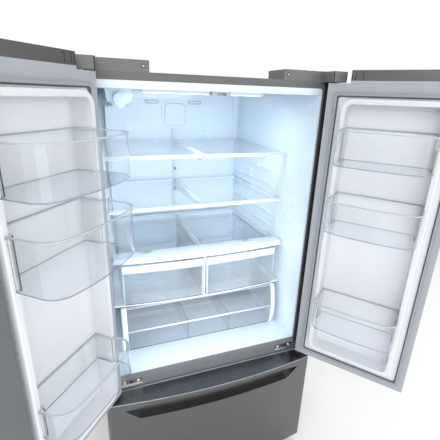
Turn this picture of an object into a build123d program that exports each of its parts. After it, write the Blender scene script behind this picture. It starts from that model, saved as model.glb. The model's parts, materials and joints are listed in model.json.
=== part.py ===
"""French door refrigerator with a bottom freezer drawer.

Millimetres. +Z is up, -Y is the side that the doors face, and X = 0 is the middle plane.
The origin lies on the floor, under the middle of the case's front face.
Both doors are drawn closed on a plane that is then swung about the hinge pin to the open angle.
"""
from build123d import *
import os
from math import cos, radians, sin, sqrt

os.makedirs("parts", exist_ok=True)

# ---------------------------------------------------------------- driving dimensions
case_width = 908.0
case_height = 1740.0
case_depth = 745.0
case_underside = 62.0
sheet = 1.5
flange_width = 54.0
top_band = 25.0

fresh_floor = 619.0
fresh_ceiling = 1692.0
fresh_depth = 702.0
fresh_half_front = 394.0
fresh_half_back = 362.0
plastic = 3.0

insert_bottom = 1030.0
insert_top = 1440.0
insert_step = 9.0
insert_start = 172.0
insert_full = 212.0
ledge_reach = 15.0

freezer_floor = 115.0
freezer_ceiling = 528.0
freezer_half = 392.0
freezer_depth = 640.0
machine_top = 236.0
machine_front = 520.0

open_angle_right = 128.0
open_angle_left = 130.0
pin_x = 429.0
pin_y = -42.0
pin_radius = 6.0
running_gap = 0.05

door_outer_x = 452.0
centre_gap = 5.0
door_bottom = 572.0
door_body_top = 1742.0
door_cap_top = 1776.0
door_inner_y = -12.0
door_edge_y = -74.0
front_sag = 34.0
outer_corner = 16.0
hinge_sweep = 60.0
frame_lip = 4.0

dyke_inner_x = 56.0
dyke_outer_x = 390.0
dyke_bottom = 645.0
dyke_top = 1685.0
dyke_crest_y = 28.0
dyke_rim = 18.0
pan_y = -38.0

gasket_band = 14.0
gasket_face_y = -2.0

bin_wall = 2.4
bin_back = -34.0
bin_side_gap = 4.0
bin_ears = {"left": 13.0, "right": 6.0}
bin_lug = 8.0
bin_levels = {
    "left": {"upper": (1468.0, 118.0), "middle": (1250.0, 138.0), "lower": (806.0, 100.0)},
    "right": {"upper": (1468.0, 118.0), "middle": (1228.0, 117.0), "lower": (806.0, 114.0)},
}
bin_fronts = {
    "left": {"upper": (144.0, 22.0), "middle": (144.0, 22.0), "lower": (112.0, 8.0)},
    "right": {"upper": (122.0, 14.0), "middle": (122.0, 14.0), "lower": (100.0, 9.0)},
}
bin_corners = {"left": 52.0, "right": 36.0}

drawer_top = 552.0
drawer_bottom = 66.0
grip_depth = 25.0

shelf_front = 178.0
shelf_back = 672.0
shelf_thick = 14.0
shelf_levels = {"upper": insert_top + 0.3, "lower": 1234.0}
shelf_wall_gaps = {"upper": 3.0, "lower": insert_step + 2.5}
glass_thick = 4.0
glass_gap = 0.3

rack_top = 1052.0
rack_bottom = 1030.0
rack_floor = 836.0
rack_floor_thick = 5.0
rack_front = 150.0
rack_bow = 22.0
rack_back = 660.0

crisper_inner_x = 6.0
crisper_outer_x = 348.0
pantry_half = 362.0
slide_gap = 0.4
seat_gap = 0.3

half_width = case_width / 2
half_opening = half_width - flange_width
back_panel_y = case_depth - sheet
front_radius = (door_outer_x**2 + front_sag**2) / (2 * front_sag)
front_centre_y = door_edge_y - front_sag + front_radius
hands = {"left": -1, "right": 1}


# ---------------------------------------------------------------- planes and outlines
def swing(plane, x, y, degrees):
    """The plane turned about its own point (x, y), counter-clockwise seen from above."""
    pivot = plane.from_local_coords(Vector(x, y, 0))
    turn = radians(degrees)
    x_dir = plane.x_dir * cos(turn) + plane.y_dir * sin(turn)
    y_dir = plane.y_dir * cos(turn) - plane.x_dir * sin(turn)
    return Plane(origin=pivot - x_dir * x - y_dir * y, x_dir=x_dir, z_dir=plane.z_dir)


def level(plan, height):
    """A horizontal plane of a plan, at a height."""
    return plan.offset(height)


def elevation(plan, depth):
    """An upright plane of a plan: x across, y up, facing forward, at a depth."""
    return Plane(origin=plan.origin + plan.y_dir * depth, x_dir=plan.x_dir, z_dir=-plan.y_dir)


cabinet = Plane.XY
door_plans = {
    "left": swing(cabinet, -pin_x, pin_y, -open_angle_left),
    "right": swing(cabinet, pin_x, pin_y, open_angle_right),
}


def front_depth(x, inset=0.0):
    """Depth of the arched front face at x, moved back by the inset."""
    return front_centre_y - sqrt((front_radius - inset) ** 2 - x**2)


def arched_outline(x_a, x_b, inset, back, corner_a, corner_b):
    """Face between the arched front and a straight back, with rounded front corners."""
    middle = (x_a + x_b) / 2
    with BuildLine() as outline:
        ThreePointArc(
            (x_a, front_depth(x_a, inset)),
            (middle, front_depth(middle, inset)),
            (x_b, front_depth(x_b, inset)),
        )
        Line((x_b, front_depth(x_b, inset)), (x_b, back))
        Line((x_b, back), (x_a, back))
        Line((x_a, back), (x_a, front_depth(x_a, inset)))
    make_face(outline.edges())
    for x, radius in ((x_a, corner_a), (x_b, corner_b)):
        corner = vertices().sort_by_distance(Vector(x, front_depth(x, inset), 0))[0]
        fillet(corner, radius)


def door_outline(side, inset, back):
    """Plan of a closed door, from the middle gap to its outer edge."""
    arched_outline(
        side * (centre_gap / 2 + inset),
        side * (door_outer_x - inset),
        inset,
        back,
        4.0 - inset,
        outer_corner - inset,
    )


def box_between(x_a, x_b, y_a, y_b):
    """Rectangle between two x and two y values, in the active sketch."""
    with Locations(((x_a + x_b) / 2, (y_a + y_b) / 2)):
        Rectangle(abs(x_b - x_a), abs(y_b - y_a))


def rounded_between(x_a, x_b, y_a, y_b, radius):
    """Rounded rectangle between two x and two y values, in the active sketch."""
    with Locations(((x_a + x_b) / 2, (y_a + y_b) / 2)):
        RectangleRounded(abs(x_b - x_a), abs(y_b - y_a), radius)


def wall_x(y):
    """Half width of the fresh-food liner at depth y."""
    return fresh_half_front - (fresh_half_front - fresh_half_back) * y / fresh_depth


def bay_outline(side, inner_x, wall_gap, front, back):
    """Half of the fresh-food width: straight at the middle, following the tapered wall."""
    with BuildLine() as outline:
        Polyline(
            (side * inner_x, front),
            (side * (wall_x(front) - wall_gap), front),
            (side * (wall_x(back) - wall_gap), back),
            (side * inner_x, back),
            close=True,
        )
    make_face(outline.edges())


def liner_outline(extra, front):
    """Plan of the fresh-food space, grown outward by extra, starting at a front depth."""
    with BuildLine() as outline:
        Polyline(
            (-fresh_half_front - extra, front),
            (fresh_half_front + extra, front),
            (fresh_half_back + extra, fresh_depth + extra),
            (-fresh_half_back - extra, fresh_depth + extra),
            close=True,
        )
    make_face(outline.edges())


# ---------------------------------------------------------------- case
with BuildPart() as cabinet_shell:
    with BuildSketch(level(cabinet, case_underside)):
        box_between(-half_width, half_width, 0, case_depth)
    extrude(amount=case_height - case_underside)
    top_edges = cabinet_shell.edges().filter_by(Axis.Y).group_by(Axis.Z)[-1]
    fillet(top_edges, 3.0)
    with BuildSketch(level(cabinet, case_underside)):
        box_between(-half_width + sheet, half_width - sheet, sheet, case_depth)
    extrude(amount=case_height - case_underside - sheet, mode=Mode.SUBTRACT)
    with BuildSketch(elevation(cabinet, 0)):
        rounded_between(-half_opening, half_opening, -200, case_height - top_band, 10)
    extrude(amount=-sheet, mode=Mode.SUBTRACT)
cabinet_shell.part.label = "cabinet_shell"
export_step(cabinet_shell.part, "parts/cabinet_shell.step")

with BuildPart() as back_panel:
    with BuildSketch(elevation(cabinet, case_depth)):
        box_between(-half_width + sheet, half_width - sheet, machine_top, case_height - sheet)
    extrude(amount=sheet)
    with BuildSketch(elevation(cabinet, case_depth)):
        with GridLocations(0, 260, 1, 4):
            with Locations((0, 1000)):
                SlotOverall(640, 14)
    extrude(amount=0.6, mode=Mode.SUBTRACT)
back_panel.part.label = "back_panel"
export_step(back_panel.part, "parts/back_panel.step")

with BuildPart() as fresh_food_liner:
    with BuildSketch(level(cabinet, fresh_floor - plastic)):
        liner_outline(plastic, 0)
    extrude(amount=fresh_ceiling - fresh_floor + 2 * plastic)
    with BuildSketch(elevation(cabinet, 0)):
        rounded_between(-half_opening, half_opening, fresh_floor - plastic, case_height - top_band, 10)
    extrude(amount=-plastic)
    with BuildSketch(level(cabinet, fresh_floor)) as room:
        liner_outline(0, -1)
        fillet(room.vertices().group_by(Axis.Y)[-1], 28)
    extrude(amount=fresh_ceiling - fresh_floor, mode=Mode.SUBTRACT)
    for side in hands.values():
        with BuildSketch(level(cabinet, insert_bottom)):
            with BuildLine():
                Polyline(
                    (side * (wall_x(insert_start) + 1), insert_start),
                    (side * (wall_x(insert_full) - insert_step), insert_full),
                    (side * (fresh_half_back - insert_step), fresh_depth + 1),
                    (side * (fresh_half_back + 1), fresh_depth + 1),
                    close=True,
                )
            make_face()
        extrude(amount=insert_top - insert_bottom)
        for rib_bottom in (1352.0, 1284.0, shelf_levels["lower"] - seat_gap - 6.0, 1147.0, 1087.0):
            with BuildSketch(level(cabinet, rib_bottom)):
                with BuildLine():
                    Polyline(
                        (side * (wall_x(262) - insert_step + 1), 256),
                        (side * (wall_x(270) - insert_step - 5), 270),
                        (side * (wall_x(668) - insert_step - 5), 668),
                        (side * (wall_x(674) - insert_step + 1), 674),
                        close=True,
                    )
                make_face()
            extrude(amount=6.0)
        for ledge_top in (rack_bottom, rack_floor):
            with BuildSketch(level(cabinet, ledge_top - 7)):
                with BuildLine():
                    Polyline(
                        (side * (wall_x(160) + 1), 160),
                        (side * (wall_x(170) - ledge_reach), 170),
                        (side * (wall_x(650) - ledge_reach), 650),
                        (side * (wall_x(650) + 1), 650),
                        close=True,
                    )
                make_face()
            extrude(amount=7.0)
fresh_food_liner.part.label = "fresh_food_liner"
export_step(fresh_food_liner.part, "parts/fresh_food_liner.step")

with BuildPart() as freezer_liner:
    with BuildSketch(elevation(cabinet, 0)):
        box_between(-half_opening, half_opening, case_underside + 1, freezer_ceiling + plastic)
    extrude(amount=-plastic)
    with BuildSketch(Plane.YZ.offset(-freezer_half - plastic)):
        with BuildLine():
            Polyline(
                (0, freezer_floor - plastic),
                (machine_front - 30, freezer_floor - plastic),
                (machine_front - 30, machine_top + 30 - plastic),
                (freezer_depth + plastic, machine_top + 30 - plastic),
                (freezer_depth + plastic, freezer_ceiling + plastic),
                (0, freezer_ceiling + plastic),
                close=True,
            )
        make_face()
    extrude(amount=2 * (freezer_half + plastic))
    with BuildSketch(Plane.YZ.offset(-freezer_half)):
        with BuildLine():
            Polyline(
                (0, freezer_floor),
                (machine_front - 30 - plastic, freezer_floor),
                (machine_front - 30 - plastic, machine_top + 30),
                (freezer_depth, machine_top + 30),
                (freezer_depth, freezer_ceiling),
                (0, freezer_ceiling),
                close=True,
            )
        make_face()
    extrude(amount=2 * freezer_half, mode=Mode.SUBTRACT)
freezer_liner.part.label = "freezer_liner"
export_step(freezer_liner.part, "parts/freezer_liner.step")

with BuildPart() as insulation_foam:
    with BuildSketch(level(cabinet, machine_top)):
        box_between(-half_width + sheet, half_width - sheet, plastic, back_panel_y)
    extrude(amount=case_height - sheet - 6 - machine_top)
    with BuildSketch(level(cabinet, case_underside)):
        box_between(-half_width + sheet, half_width - sheet, plastic, machine_front)
    extrude(amount=machine_top - case_underside)
    with BuildSketch(level(cabinet, fresh_floor - plastic)):
        liner_outline(plastic, 0)
    extrude(amount=fresh_ceiling - fresh_floor + 2 * plastic, mode=Mode.SUBTRACT)
    with BuildSketch(Plane.YZ.offset(-freezer_half - plastic)):
        with BuildLine():
            Polyline(
                (0, freezer_floor - plastic),
                (machine_front - 30, freezer_floor - plastic),
                (machine_front - 30, machine_top + 30 - plastic),
                (freezer_depth + plastic, machine_top + 30 - plastic),
                (freezer_depth + plastic, freezer_ceiling + plastic),
                (0, freezer_ceiling + plastic),
                close=True,
            )
        make_face()
    extrude(amount=2 * (freezer_half + plastic), mode=Mode.SUBTRACT)
    with BuildSketch(level(cabinet, freezer_ceiling + plastic)):
        box_between(-half_opening - 1, half_opening + 1, 0, 26)
    extrude(amount=fresh_floor - freezer_ceiling - 2 * plastic, mode=Mode.SUBTRACT)
insulation_foam.part.label = "insulation_foam"
export_step(insulation_foam.part, "parts/insulation_foam.step")

with BuildPart() as mullion_rail:
    with BuildSketch(level(cabinet, freezer_ceiling + plastic)):
        box_between(-half_opening, half_opening, 0, 24)
    extrude(amount=fresh_floor - freezer_ceiling - 2 * plastic)
    front_edges = mullion_rail.edges().filter_by(Axis.X).group_by(Axis.Y)[0]
    fillet(front_edges, 1.5)
mullion_rail.part.label = "mullion_rail"
export_step(mullion_rail.part, "parts/mullion_rail.step")

# ---------------------------------------------------------------- base
roller_x = 372.0
roller_y = 690.0
roller_radius = 22.0
roller_width = 24.0
axle_radius = 5.0
foot_x = 400.0
foot_y = 40.0
stud_radius = 6.0

with BuildPart() as base_pan:
    with BuildSketch(level(cabinet, case_underside - 2)):
        box_between(-half_width + 6, half_width - 6, 16, back_panel_y - 2)
    extrude(amount=2)
    for side in hands.values():
        with BuildSketch(level(cabinet, case_underside - 24)):
            box_between(side * (half_width - 6), side * (half_width - 9), 16, back_panel_y - 2)
        extrude(amount=22)
        for ear_x in (roller_x - roller_width / 2 - 3, roller_x + roller_width / 2 + 3):
            with BuildSketch(Plane.YZ.offset(side * ear_x - 2)):
                with BuildLine():
                    Polyline(
                        (roller_y - 26, case_underside - 2),
                        (roller_y - 11, roller_radius - 9),
                        (roller_y + 11, roller_radius - 9),
                        (roller_y + 26, case_underside - 2),
                        close=True,
                    )
                make_face()
            extrude(amount=4)
        with BuildSketch(level(cabinet, case_underside - 20)):
            with Locations((side * foot_x, foot_y)):
                Circle(stud_radius + 7)
        extrude(amount=18)
        with BuildSketch(level(cabinet, case_underside - 20)):
            with Locations((side * foot_x, foot_y)):
                Circle(stud_radius + seat_gap)
        extrude(amount=20, mode=Mode.SUBTRACT)
    with BuildSketch(level(cabinet, case_underside - 42)):
        box_between(-half_width + 40, half_width - 40, 16, 18)
    extrude(amount=40)
    with BuildSketch(Plane.YZ.offset(-half_width)):
        with Locations((roller_y, roller_radius)):
            Circle(axle_radius + running_gap)
    extrude(amount=case_width, mode=Mode.SUBTRACT)
base_pan.part.label = "base_pan"
export_step(base_pan.part, "parts/base_pan.step")

with BuildPart() as toe_grille:
    with BuildSketch(level(cabinet, 14)):
        box_between(-half_width + 30, half_width - 30, 2, 15.7)
    extrude(amount=44)
    with BuildSketch(elevation(cabinet, 2)):
        with Locations((0, 36)):
            with GridLocations(52, 12, 14, 3):
                SlotOverall(40, 5)
    extrude(amount=-14, mode=Mode.SUBTRACT)
    with BuildSketch(level(cabinet, 16)):
        box_between(-half_width + 34, half_width - 34, 6, 16)
    extrude(amount=40, mode=Mode.SUBTRACT)
    fillet(toe_grille.edges().filter_by(Axis.Z).group_by(Axis.Y)[0], 1.5)
toe_grille.part.label = "toe_grille"
export_step(toe_grille.part, "parts/toe_grille.step")

with BuildPart() as levelling_feet:
    for side in hands.values():
        with BuildSketch(level(cabinet, 0)):
            with Locations((side * foot_x, foot_y)):
                Circle(19)
        extrude(amount=8)
        with BuildSketch(level(cabinet, 8)):
            with Locations((side * foot_x, foot_y)):
                RegularPolygon(12, 6)
        extrude(amount=10)
        with BuildSketch(level(cabinet, 18)):
            with Locations((side * foot_x, foot_y)):
                Circle(stud_radius)
        extrude(amount=case_underside - 18)
levelling_feet.part.label = "levelling_feet"
export_step(levelling_feet.part, "parts/levelling_feet.step")

with BuildPart() as rear_rollers:
    with BuildSketch(Plane.YZ.offset(-roller_x - roller_width)):
        with Locations((roller_y, roller_radius)):
            Circle(axle_radius)
    extrude(amount=2 * (roller_x + roller_width))
    for side in hands.values():
        with BuildSketch(Plane.YZ.offset(side * roller_x - roller_width / 2)):
            with Locations((roller_y, roller_radius)):
                Circle(roller_radius)
        extrude(amount=roller_width)
    chamfer(rear_rollers.edges().filter_by(GeomType.CIRCLE).group_by(SortBy.RADIUS)[-1], 2)
rear_rollers.part.label = "rear_rollers"
export_step(rear_rollers.part, "parts/rear_rollers.step")

# ---------------------------------------------------------------- machine room
compressor_x = -250.0
compressor_y = 632.0
fan_x = -40.0
fan_y = 640.0
fan_z = 140.0
fan_radius = 62.0
shaft_radius = 4.0

with BuildPart() as compressor:
    with BuildSketch(level(cabinet, case_underside)):
        with Locations((compressor_x, compressor_y)):
            RectangleRounded(190, 130, 20)
    extrude(amount=6)
    with BuildSketch(level(cabinet, case_underside + 6)):
        with Locations((compressor_x, compressor_y)):
            Ellipse(78, 62)
    extrude(amount=138)
    fillet(compressor.edges().group_by(Axis.Z)[-1], 34)
    with BuildSketch(level(cabinet, case_underside + 70)):
        with Locations((compressor_x, compressor_y)):
            Ellipse(81, 65)
    extrude(amount=6)
    with BuildSketch(elevation(cabinet, compressor_y - 50)):
        with Locations((compressor_x + 40, case_underside + 44)):
            RectangleRounded(46, 40, 5)
    extrude(amount=26)
compressor.part.label = "compressor"
export_step(compressor.part, "parts/compressor.step")

with BuildPart() as condenser:
    with BuildSketch(Plane.YZ.offset(70)):
        with Locations((fan_y, fan_z)):
            with GridLocations(0, 24, 1, 6):
                Circle(5)
    extrude(amount=250)
    for fin in range(22):
        with BuildSketch(Plane.YZ.offset(78 + fin * 11)):
            box_between(572, 712, case_underside, 214)
        extrude(amount=1.2)
    with BuildSketch(Plane.YZ.offset(20)):
        box_between(566, 718, case_underside, 220)
        with Locations((fan_y, fan_z)):
            Circle(fan_radius + 5, mode=Mode.SUBTRACT)
    extrude(amount=14)
    with BuildSketch(Plane.YZ.offset(34)):
        box_between(566, 718, case_underside, 66)
        box_between(566, 718, 216, 220)
    extrude(amount=290)
    with BuildSketch(Plane.YZ.offset(20)):
        with Locations((fan_y, fan_z)):
            Rectangle(4, 2 * fan_radius + 14)
            Rectangle(2 * fan_radius + 14, 4)
            Circle(20)
    extrude(amount=5)
    with BuildSketch(Plane.YZ.offset(20)):
        with Locations((fan_y, fan_z)):
            Circle(14)
    extrude(amount=30)
    with BuildSketch(Plane.YZ.offset(-1)):
        with Locations((fan_y, fan_z)):
            Circle(shaft_radius + running_gap)
    extrude(amount=34, mode=Mode.SUBTRACT)
condenser.part.label = "condenser"
export_step(condenser.part, "parts/condenser.step")


def fan_outline(centre, hub, radius, blades):
    """Blades round a hub, in the active sketch."""
    with Locations(centre):
        Circle(hub)
        with PolarLocations(0, blades):
            with Locations((radius / 2, 0)):
                SlotOverall(radius, radius * 0.42)


with BuildPart() as condenser_fan:
    with BuildSketch(Plane.YZ.offset(fan_x)):
        fan_outline((fan_y, fan_z), 22, fan_radius, 5)
    extrude(amount=6)
    with BuildSketch(Plane.YZ.offset(fan_x)):
        with Locations((fan_y, fan_z)):
            Circle(22)
    extrude(amount=26)
    with BuildSketch(Plane.YZ.offset(fan_x)):
        with Locations((fan_y, fan_z)):
            Circle(shaft_radius)
    extrude(amount=30 - fan_x)
condenser_fan.part.label = "condenser_fan"
export_step(condenser_fan.part, "parts/condenser_fan.step")

with BuildPart() as machine_cover:
    with BuildSketch(elevation(cabinet, case_depth)):
        box_between(-half_width + sheet, half_width - sheet, case_underside, machine_top)
    extrude(amount=sheet)
    with BuildSketch(elevation(cabinet, case_depth)):
        with Locations((0, 150)):
            with GridLocations(60, 22, 12, 6):
                SlotOverall(46, 7)
    extrude(amount=sheet, mode=Mode.SUBTRACT)
    with BuildSketch(elevation(cabinet, case_depth)):
        with Locations((410, 196)):
            Rectangle(40, 50)
    extrude(amount=22)
machine_cover.part.label = "machine_cover"
export_step(machine_cover.part, "parts/machine_cover.step")

# ---------------------------------------------------------------- freezer inside
cover_y = 556.0
fan_mount_z = 430.0

with BuildPart() as freezer_air_cover:
    with BuildSketch(elevation(cabinet, cover_y)):
        box_between(-freezer_half + 1, freezer_half - 1, machine_top + 30.3, freezer_ceiling - 0.3)
        with Locations((-230, 480), (230, 480), (-230, 310), (230, 310)):
            SlotOverall(150, 14, mode=Mode.SUBTRACT)
    extrude(amount=-4)
    with BuildSketch(elevation(cabinet, cover_y)):
        with Locations((0, fan_mount_z)):
            Circle(57)
    extrude(amount=-16)
    with BuildSketch(elevation(cabinet, cover_y)):
        with Locations((0, fan_mount_z)):
            Circle(52)
    extrude(amount=-16, mode=Mode.SUBTRACT)
    with BuildSketch(elevation(cabinet, cover_y + 10)):
        with Locations((0, fan_mount_z)):
            Rectangle(6, 108)
            Rectangle(108, 6)
            Circle(16)
    extrude(amount=-6)
    with BuildSketch(elevation(cabinet, cover_y)):
        with Locations((0, fan_mount_z)):
            Circle(shaft_radius + running_gap)
    extrude(amount=-24, mode=Mode.SUBTRACT)
freezer_air_cover.part.label = "freezer_air_cover"
export_step(freezer_air_cover.part, "parts/freezer_air_cover.step")

with BuildPart() as evaporator_fan:
    with BuildSketch(elevation(cabinet, cover_y + 8)):
        fan_outline((0, fan_mount_z), 16, 48, 5)
    extrude(amount=6)
    with BuildSketch(elevation(cabinet, cover_y + 15)):
        with Locations((0, fan_mount_z)):
            Circle(shaft_radius)
    extrude(amount=12)
evaporator_fan.part.label = "evaporator_fan"
export_step(evaporator_fan.part, "parts/evaporator_fan.step")

with BuildPart() as evaporator:
    for fin in range(24):
        with BuildSketch(Plane.YZ.offset(-300 + fin * 26)):
            box_between(582, freezer_depth - 2, machine_top + 30.3, 508)
        extrude(amount=1.2)
    with BuildSketch(Plane.YZ.offset(-306)):
        with Locations((608, 390)):
            with GridLocations(28, 34, 2, 7):
                Circle(5)
    extrude(amount=612)
evaporator.part.label = "evaporator"
export_step(evaporator.part, "parts/evaporator.step")

# ---------------------------------------------------------------- fresh-food inside
duct_face = 690.0
column_front = 674.0
vent_centre = (6.0, 1579.0)
ladder_half = 11.0
ladder_front = 680.0

with BuildPart() as rear_duct:
    with BuildSketch(elevation(cabinet, fresh_depth)):
        box_between(-330, 330, rack_top + 4, fresh_ceiling - 2)
    extrude(amount=fresh_depth - duct_face)
    with BuildSketch(elevation(cabinet, duct_face)):
        rounded_between(-340, -221, rack_top + 4, 1618, 10)
    extrude(amount=duct_face - column_front)
    with BuildSketch(elevation(cabinet, column_front)):
        rounded_between(-258, -252, rack_top + 30, 1600, 2.9)
    extrude(amount=-2, mode=Mode.SUBTRACT)
    with BuildSketch(elevation(cabinet, duct_face)):
        box_between(-215, 330, 1493, 1495)
        with Locations((-110.5, 1640), (112, 1640)):
            RectangleRounded(66, 14, 3)
    extrude(amount=-2.5, mode=Mode.SUBTRACT)
rear_duct.part.label = "rear_duct"
export_step(rear_duct.part, "parts/rear_duct.step")

with BuildPart() as vent_cover:
    with BuildSketch(elevation(cabinet, duct_face)):
        with Locations(vent_centre):
            RectangleRounded(136, 138, 30)
    extrude(amount=5)
    with BuildSketch(elevation(cabinet, duct_face - 5)):
        with Locations(vent_centre):
            RectangleRounded(104, 106, 22)
    extrude(amount=2.5)
    fillet(vent_cover.faces().sort_by(Axis.Y)[0].edges(), 2)
vent_cover.part.label = "vent_cover"
export_step(vent_cover.part, "parts/vent_cover.step")

with BuildPart() as ceiling_light:
    with BuildSketch(level(cabinet, fresh_ceiling - 10)):
        with Locations((0, 171)):
            RectangleRounded(476, 34, 8)
    extrude(amount=10)
    fillet(ceiling_light.edges().group_by(Axis.Z)[0], 4)
ceiling_light.part.label = "ceiling_light"
export_step(ceiling_light.part, "parts/ceiling_light.step")

filter_x = -296.0
filter_z = 1654.0
filter_radius = 24.0

with BuildPart() as filter_housing:
    with BuildSketch(elevation(cabinet, 380)):
        with BuildLine():
            Polyline((-350, fresh_ceiling), (-242, fresh_ceiling), (-248, 1642), (-342, 1642), close=True)
        make_face()
        with Locations((filter_x, filter_z)):
            Circle(filter_radius + 9)
    extrude(amount=-290)
    with BuildSketch(elevation(cabinet, 370)):
        with Locations((filter_x, filter_z)):
            Circle(filter_radius + running_gap)
    extrude(amount=-290, mode=Mode.SUBTRACT)
filter_housing.part.label = "filter_housing"
export_step(filter_housing.part, "parts/filter_housing.step")

with BuildPart() as filter_cartridge:
    with BuildSketch(elevation(cabinet, 362)):
        with Locations((filter_x, filter_z)):
            Circle(filter_radius)
    extrude(amount=-280)
    with BuildSketch(elevation(cabinet, 362)):
        with Locations((filter_x, filter_z)):
            Circle(filter_radius)
            Rectangle(10, 2 * filter_radius + 4)
    extrude(amount=14)
filter_cartridge.part.label = "filter_cartridge"
export_step(filter_cartridge.part, "parts/filter_cartridge.step")

flap_axis_x = -38.0
flap_axis_y = 16.0
flap_half = 44.0
flap_thick = 20.0
flap_bottom = 652.0
flap_top = 1674.0
guide_bottom = 1680.0

with BuildPart() as mullion_guide:
    with BuildSketch(level(cabinet, guide_bottom)):
        with Locations((5, 20)):
            RectangleRounded(68, 32, 4)
    extrude(amount=fresh_ceiling - guide_bottom)
    with BuildSketch(level(cabinet, guide_bottom)):
        box_between(-12, 22, -2, 27)
    extrude(amount=8, mode=Mode.SUBTRACT)
mullion_guide.part.label = "mullion_guide"
export_step(mullion_guide.part, "parts/mullion_guide.step")

with BuildPart() as shelf_ladder:
    with BuildSketch(elevation(cabinet, duct_face)):
        box_between(-ladder_half, ladder_half, rack_top + 6, 1508)
    extrude(amount=duct_face - ladder_front)
    with BuildSketch(elevation(cabinet, ladder_front)):
        for slot_z in range(1080, 1500, 28):
            with Locations((0, slot_z)):
                SlotOverall(16, 6, rotation=90)
    extrude(amount=-5, mode=Mode.SUBTRACT)
    for shelf_bottom in shelf_levels.values():
        with BuildSketch(Plane.YZ.offset(-5)):
            with BuildLine():
                Polyline(
                    (ladder_front + 3, shelf_bottom - seat_gap),
                    (shelf_front + 14, shelf_bottom - seat_gap),
                    (shelf_front + 14, shelf_bottom - 10),
                    (ladder_front - 30, shelf_bottom - 42),
                    (ladder_front + 3, shelf_bottom - 42),
                    close=True,
                )
            make_face()
        extrude(amount=10)
shelf_ladder.part.label = "shelf_ladder"
export_step(shelf_ladder.part, "parts/shelf_ladder.step")

shelf_rim = 14.0
shelf_ledge = 5.0
for height_name, bottom in shelf_levels.items():
    wall_gap = shelf_wall_gaps[height_name]
    for hand, side in hands.items():
        with BuildPart() as shelf:
            with BuildSketch(level(cabinet, bottom)):
                bay_outline(side, 1.5, wall_gap, shelf_front, shelf_back)
            extrude(amount=shelf_thick)
            with BuildSketch(level(cabinet, bottom)):
                bay_outline(
                    side,
                    1.5 + shelf_rim,
                    wall_gap + shelf_rim,
                    shelf_front + shelf_rim + 4,
                    shelf_back - shelf_rim,
                )
            extrude(amount=shelf_thick, mode=Mode.SUBTRACT)
            with BuildSketch(level(cabinet, bottom + shelf_thick - glass_thick - glass_gap)):
                bay_outline(
                    side,
                    1.5 + shelf_rim - shelf_ledge,
                    wall_gap + shelf_rim - shelf_ledge,
                    shelf_front + shelf_rim + 4 - shelf_ledge,
                    shelf_back - shelf_rim + shelf_ledge,
                )
            extrude(amount=glass_thick + glass_gap, mode=Mode.SUBTRACT)
            fillet(shelf.edges().filter_by(Axis.X).group_by(Axis.Y)[0], 3)
        shelf.part.label = f"{height_name}_{hand}_shelf"
        export_step(shelf.part, f"parts/{height_name}_{hand}_shelf.step")

# ---------------------------------------------------------------- crisper rack and drawers
rack_gap = 3.0
rack_rim = 18.0
rack_band = 56.0
slider_y = 186.0
slider_slot = 64.0
slider_x = {"left": -235.0, "right": 215.0}


def rack_outline(wall_gap, front, bow, back):
    """Full-width outline that follows the liner walls, its front edge bowed forward."""
    half_front = wall_x(front) - wall_gap
    half_back = wall_x(back) - wall_gap
    with BuildLine() as outline:
        ThreePointArc((-half_front, front), (0, front - bow), (half_front, front))
        Polyline((half_front, front), (half_back, back), (-half_back, back), (-half_front, front))
    make_face(outline.edges())


with BuildPart() as crisper_rack:
    with BuildSketch(level(cabinet, rack_bottom)):
        rack_outline(rack_gap + insert_step, rack_front, rack_bow, rack_back)
    extrude(amount=rack_top - rack_bottom)
    for side in hands.values():
        with BuildSketch(level(cabinet, rack_bottom)):
            bay_outline(side, 8, rack_rim + insert_step, rack_front + rack_band + 5, rack_back - 18)
        extrude(amount=rack_top - rack_bottom, mode=Mode.SUBTRACT)
        with BuildSketch(level(cabinet, rack_top - glass_thick - glass_gap)):
            bay_outline(side, 3, rack_rim + insert_step - 5, rack_front + rack_band, rack_back - 13)
        extrude(amount=glass_thick + glass_gap, mode=Mode.SUBTRACT)
    with BuildSketch(level(cabinet, rack_floor)):
        rack_outline(rack_gap, rack_front, rack_bow, rack_back)
    extrude(amount=rack_floor_thick)
    with BuildSketch(level(cabinet, rack_floor)):
        box_between(-2.5, 2.5, rack_front - rack_bow + 8, rack_back)
    extrude(amount=rack_bottom - rack_floor)
    with BuildSketch(level(cabinet, rack_bottom)):
        for x in slider_x.values():
            with Locations((x, slider_y)):
                SlotOverall(slider_slot, 7)
    extrude(amount=rack_top - rack_bottom, mode=Mode.SUBTRACT)
crisper_rack.part.label = "crisper_rack"
export_step(crisper_rack.part, "parts/crisper_rack.step")

with BuildPart() as glass_panes:
    for height_name, bottom in shelf_levels.items():
        for side in hands.values():
            with BuildSketch(level(cabinet, bottom + shelf_thick - glass_thick - glass_gap)):
                bay_outline(
                    side,
                    1.5 + shelf_rim - shelf_ledge + glass_gap,
                    shelf_wall_gaps[height_name] + shelf_rim - shelf_ledge + glass_gap,
                    shelf_front + shelf_rim + 4 - shelf_ledge + glass_gap,
                    shelf_back - shelf_rim + shelf_ledge - glass_gap,
                )
            extrude(amount=glass_thick)
    for side in hands.values():
        with BuildSketch(level(cabinet, rack_top - glass_thick - glass_gap)):
            bay_outline(
                side,
                3 + glass_gap,
                rack_rim + insert_step - 5 + glass_gap,
                rack_front + rack_band + glass_gap,
                rack_back - 13 - glass_gap,
            )
        extrude(amount=glass_thick)
glass_panes.part.label = "glass_panes"
export_step(glass_panes.part, "parts/glass_panes.step")

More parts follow.
